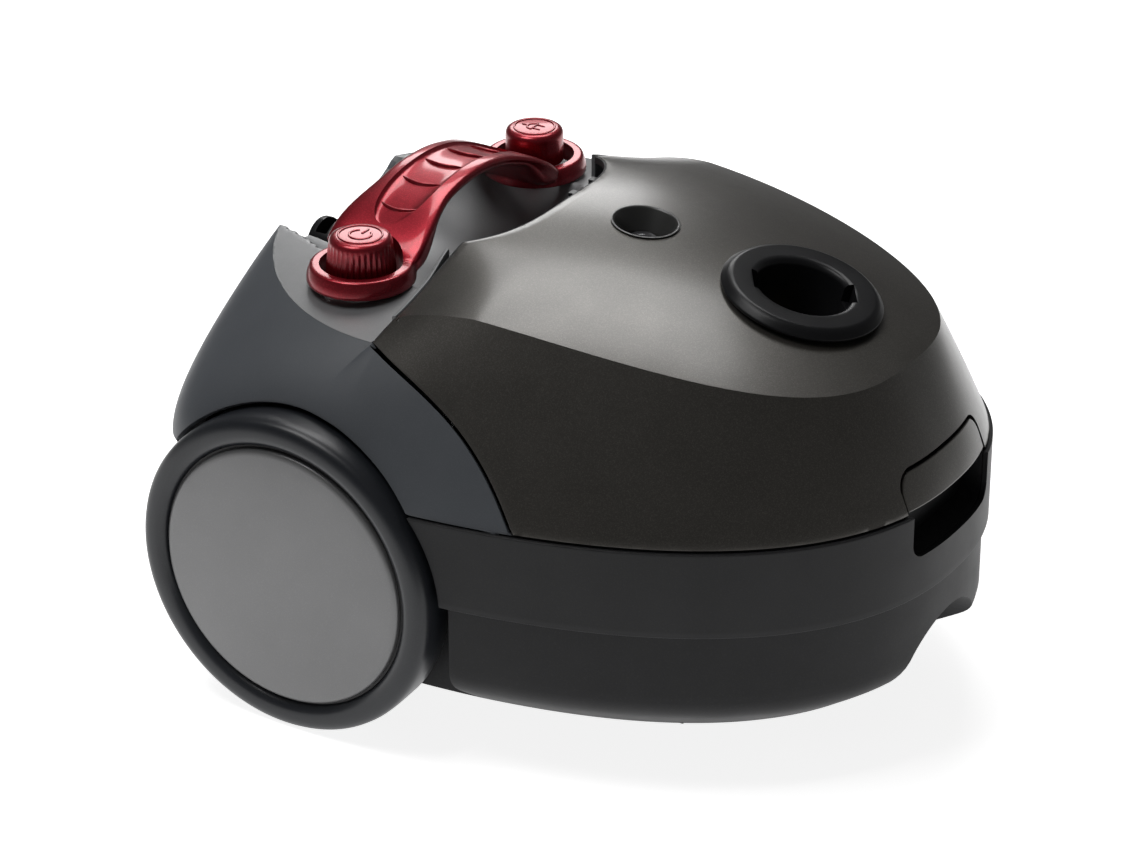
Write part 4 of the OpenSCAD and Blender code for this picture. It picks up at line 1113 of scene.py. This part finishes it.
def make_dust_bag():
    """Soft paper bag: a creased, crumpled pillow."""
    rings, steps = 34, 96
    points = []
    for i in range(rings):
        u = i / (rings - 1)
        z = 86.6 + 45.0 * u
        swell = math.sin(math.pi * (0.06 + 0.88 * u)) ** 0.42
        for j in range(steps):
            a = 2 * math.pi * j / steps
            c, s = math.cos(a), math.sin(a)
            x = 60 + 62 * swell * float(signed_power(np.array(c), 0.72))
            y = 77.5 * swell * float(signed_power(np.array(s), 0.72))
            fold = noise.noise(Vector((x * 0.035, y * 0.035, z * 0.06))) * 2.2
            fold += abs(noise.noise(Vector((x * 0.09, y * 0.09, z * 0.02 + 5)))) * 1.8 * math.sin(math.pi * u)
            out = Vector((c, s, 0))
            p = Vector((x, y, z)) - out * (1.2 + fold)
            points.append(tuple(p))
    faces = grid(rings, steps, wrap=True)
    top, bottom = len(points), len(points) + 1
    points += [(60, 0, 132.8), (60, 0, 86.2)]
    last = (rings - 1) * steps
    faces += [(last + j, last + (j + 1) % steps, top) for j in range(steps)]
    faces += [((j + 1) % steps, j, bottom) for j in range(steps)]
    bag = new_object("dust_bag_paper", points, faces)
    m = bag.modifiers.new("round", "SUBSURF")
    m.levels = 1
    apply_modifiers(bag)
    for v in bag.data.vertices:
        x, y, z = v.co / MM
        crumple = noise.noise(Vector((x * 0.16, y * 0.16, z * 0.16))) * 0.9
        crumple += noise.noise(Vector((x * 0.4, y * 0.4, z * 0.4))) * 0.3
        v.co -= v.normal * (0.6 + crumple) * MM
    shade(bag, 60)
    return bag


bag = make_dust_bag()
finish_piece(bag, PAPER, "body", "bag_paper", "dust_bag")


def make_fleece(name, node):
    """Filter fleece: pillowed faces with quilted dimples, inside its CAD box."""
    low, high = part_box(node)
    low, high = low / MM, high / MM
    rows, columns = 44, 44
    points = []
    for face, x in ((0, low.x), (1, high.x)):
        for i in range(rows):
            for j in range(columns):
                u, w = i / (rows - 1), j / (columns - 1)
                edge = min(u, 1 - u, w, 1 - w) * 2
                puff = (1 - min(1.0, edge * 6) ** 0.5) * 1.4
                dimple = 0.35 + 0.35 * math.cos(u * 12 * math.pi) * math.cos(w * 12 * math.pi)
                rough = noise.noise(Vector((u * 30, w * 30, face * 9.0))) * 0.2
                push = puff + dimple + abs(rough)
                points.append((x + push if face == 0 else x - push, low.y + (high.y - low.y) * u,
                               low.z + (high.z - low.z) * w))
    made = new_object(name, points, slab(rows, columns))
    tidy_mesh(made, 0.001)
    shade(made, 50)
    return made


for name, node in (("motor_filter_fleece", "motor_filter"), ("exhaust_filter_fleece", "exhaust_filter")):
    fleece = make_fleece(name, node)
    finish_piece(fleece, FLEECE, "body", "filter_fleece", node)


# ---------------- springs

def make_coil(name, start, end, r, wire, turns, body, node):
    """A wound spring between two points."""
    start, end = Vector(start), Vector(end)
    axis = (end - start).normalized()
    side = axis.orthogonal().normalized()
    up = axis.cross(side)
    steps, ring = int(turns * 28), 10
    points = []
    for i in range(steps + 1):
        u = i / steps
        a = 2 * math.pi * turns * u
        flat = float(ease(u / 0.12) * ease((1 - u) / 0.12))
        along = (end - start).length * (0.5 + (u - 0.5) * (0.9 + 0.1 * flat))
        out = side * math.cos(a) + up * math.sin(a)
        middle = start + axis * along + out * r
        for k in range(ring):
            b = 2 * math.pi * k / ring
            points.append(tuple(middle + out * wire * math.cos(b) + axis * wire * math.sin(b)))
    made = new_object(name, points, tube(steps + 1, ring), 60)
    finish_piece(made, SPRING, body, "spring_steel", node)


make_coil("latch_spring_coil", (129.2, 0, 149), (135.4, 0, 149), 2.35, 0.42, 5, "latch", "latch_spring")
make_coil("rewind_spring_coil", (KNOB_X, KNOB_Y, 187.3), (KNOB_X, KNOB_Y, 199.2), 7.8, 0.55, 6,
          "rewind", "rewind_spring")
dish_turn = Matrix.Rotation(DISH_TILT, 3, "Y")
make_coil("indicator_spring_coil", DISH_PLACE + dish_turn @ Vector((0, 0, -37.4)),
          DISH_PLACE + dish_turn @ Vector((0, 0, -21.9)), 3.8, 0.38, 7, "indicator", "indicator_spring")


# ---------------- CAD nodes that stay, with their finish

KEPT = {
    BLACK: ["hinge_brackets", "exhaust_grille", "bag_holder", "filter_grid", "caster_fork", "cable_reel",
            "reel_frame", "reel_spring_case", "speed_control"],
    RUBBER: ["lid_gasket", "hose_seal", "cord_gland", "motor_front_seal", "motor_rear_mount",
             "caster_wheel"],
    STEEL: ["hinge_pins", "latch_pin", "handle_screws", "reel_axle", "wheel_axles", "caster_axle",
            "shell_screws"],
    SPRING: ["wheel_clips", "caster_clip"],
    SIGNAL: ["indicator_piston"],
    BOARD: ["control_board"],
    IVORY: ["brake_lever"],
    LAMINATIONS: ["stator_core"],
    COPPER: ["motor_rotor"],
    FAN: ["motor_can", "fan_impeller", "fan_cover"],
    CARD: ["bag_plate"],
    HUB_BLACK_AND_PAINTED_SHADE: ["wheel_hub_right", "wheel_hub_left"],
}
for look, names in KEPT.items():
    for name in names:
        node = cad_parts[name]
        node.data.materials.clear()
        node.data.materials.append(look)


# ---------------- floor, light and camera

def make_floor():
    """A pale sweep, whitest round the object."""
    size = 9000
    points = [(x, y, -0.05) for y in (-size, 0, size) for x in (-size, 0, size)]
    floor = new_object("floor", points, grid(3, 3))
    look = bpy.data.materials.new("floor_white")
    look.use_nodes = True
    nodes, links = look.node_tree.nodes, look.node_tree.links
    shader = nodes["Principled BSDF"]
    set_inputs(shader, {"Base Color": (0.75, 0.75, 0.75, 1), "Roughness": 0.9, "Specular IOR Level": 0.0,
                        "Emission Color": (1, 1, 1, 1)})
    place = nodes.new("ShaderNodeTexCoord")
    reach = nodes.new("ShaderNodeVectorMath")
    reach.operation = "DISTANCE"
    reach.inputs[1].default_value = (-0.18, 0.30, 0)
    links.new(place.outputs["Object"], reach.inputs[0])
    fade = nodes.new("ShaderNodeMapRange")
    fade.interpolation_type = "SMOOTHSTEP"
    set_inputs(fade, {"From Min": 0.64, "From Max": 1.15, "To Min": 0.85, "To Max": 0.1})
    links.new(reach.outputs["Value"], fade.inputs["Value"])
    links.new(fade.outputs["Result"], shader.inputs["Emission Strength"])
    floor.data.materials.append(look)


def soft_box(name, place, target, size, power):
    light = bpy.data.lights.new(name, "AREA")
    light.shape = "RECTANGLE"
    light.size, light.size_y = size[0] * MM, size[1] * MM
    light.energy = power
    lamp = add_object(name, light)
    lamp.location = Vector(place) * MM
    lamp.rotation_euler = (Vector(target) - Vector(place)).to_track_quat("-Z", "Y").to_euler()


make_floor()
soft_box("key_behind", (-440, 750, 1540), (0, 0, 150), (800, 620), 9.2)
soft_box("low_behind", (-850, 1200, 850), (-100, 0, 180), (600, 400), 4)
soft_box("top", (-420, -420, 1600), (-90, 0, 120), (800, 700), 11)

world = bpy.data.worlds.new("studio")
world.use_nodes = True
sky, sky_links = world.node_tree.nodes, world.node_tree.links
sky_place = sky.new("ShaderNodeTexCoord")
sky_split = sky.new("ShaderNodeSeparateXYZ")
sky_fade = sky.new("ShaderNodeMapRange")
sky_fade.interpolation_type = "SMOOTHSTEP"
set_inputs(sky_fade, {"From Min": 0.0, "From Max": 0.4, "To Min": 0.14, "To Max": 0.08})
sky_links.new(sky_place.outputs["Generated"], sky_split.inputs["Vector"])
sky_links.new(sky_split.outputs["Z"], sky_fade.inputs["Value"])
sky_links.new(sky_fade.outputs["Result"], sky["Background"].inputs["Strength"])
set_inputs(sky["Background"], {"Color": (1, 1, 1, 1)})
bpy.context.scene.world = world
bpy.context.scene.view_settings.view_transform = "Standard"

AZIMUTH, ELEVATION, DISTANCE = math.radians(31.45), math.radians(27.02), 1735.0
TARGET = Vector((-31.4, 0, 95.3))
lens = bpy.data.cameras.new("camera")
lens.lens, lens.sensor_width = 121.6, 36
lens.clip_start, lens.clip_end = 0.05, 50
camera = add_object("camera", lens)
toward = Vector((math.sin(AZIMUTH) * math.cos(ELEVATION), -math.cos(AZIMUTH) * math.cos(ELEVATION),
                 math.sin(ELEVATION)))
camera.location = (TARGET + toward * DISTANCE) * MM
camera.rotation_euler = (-toward).to_track_quat("-Z", "Y").to_euler()
bpy.context.scene.camera = camera

bpy.context.view_layer.update()
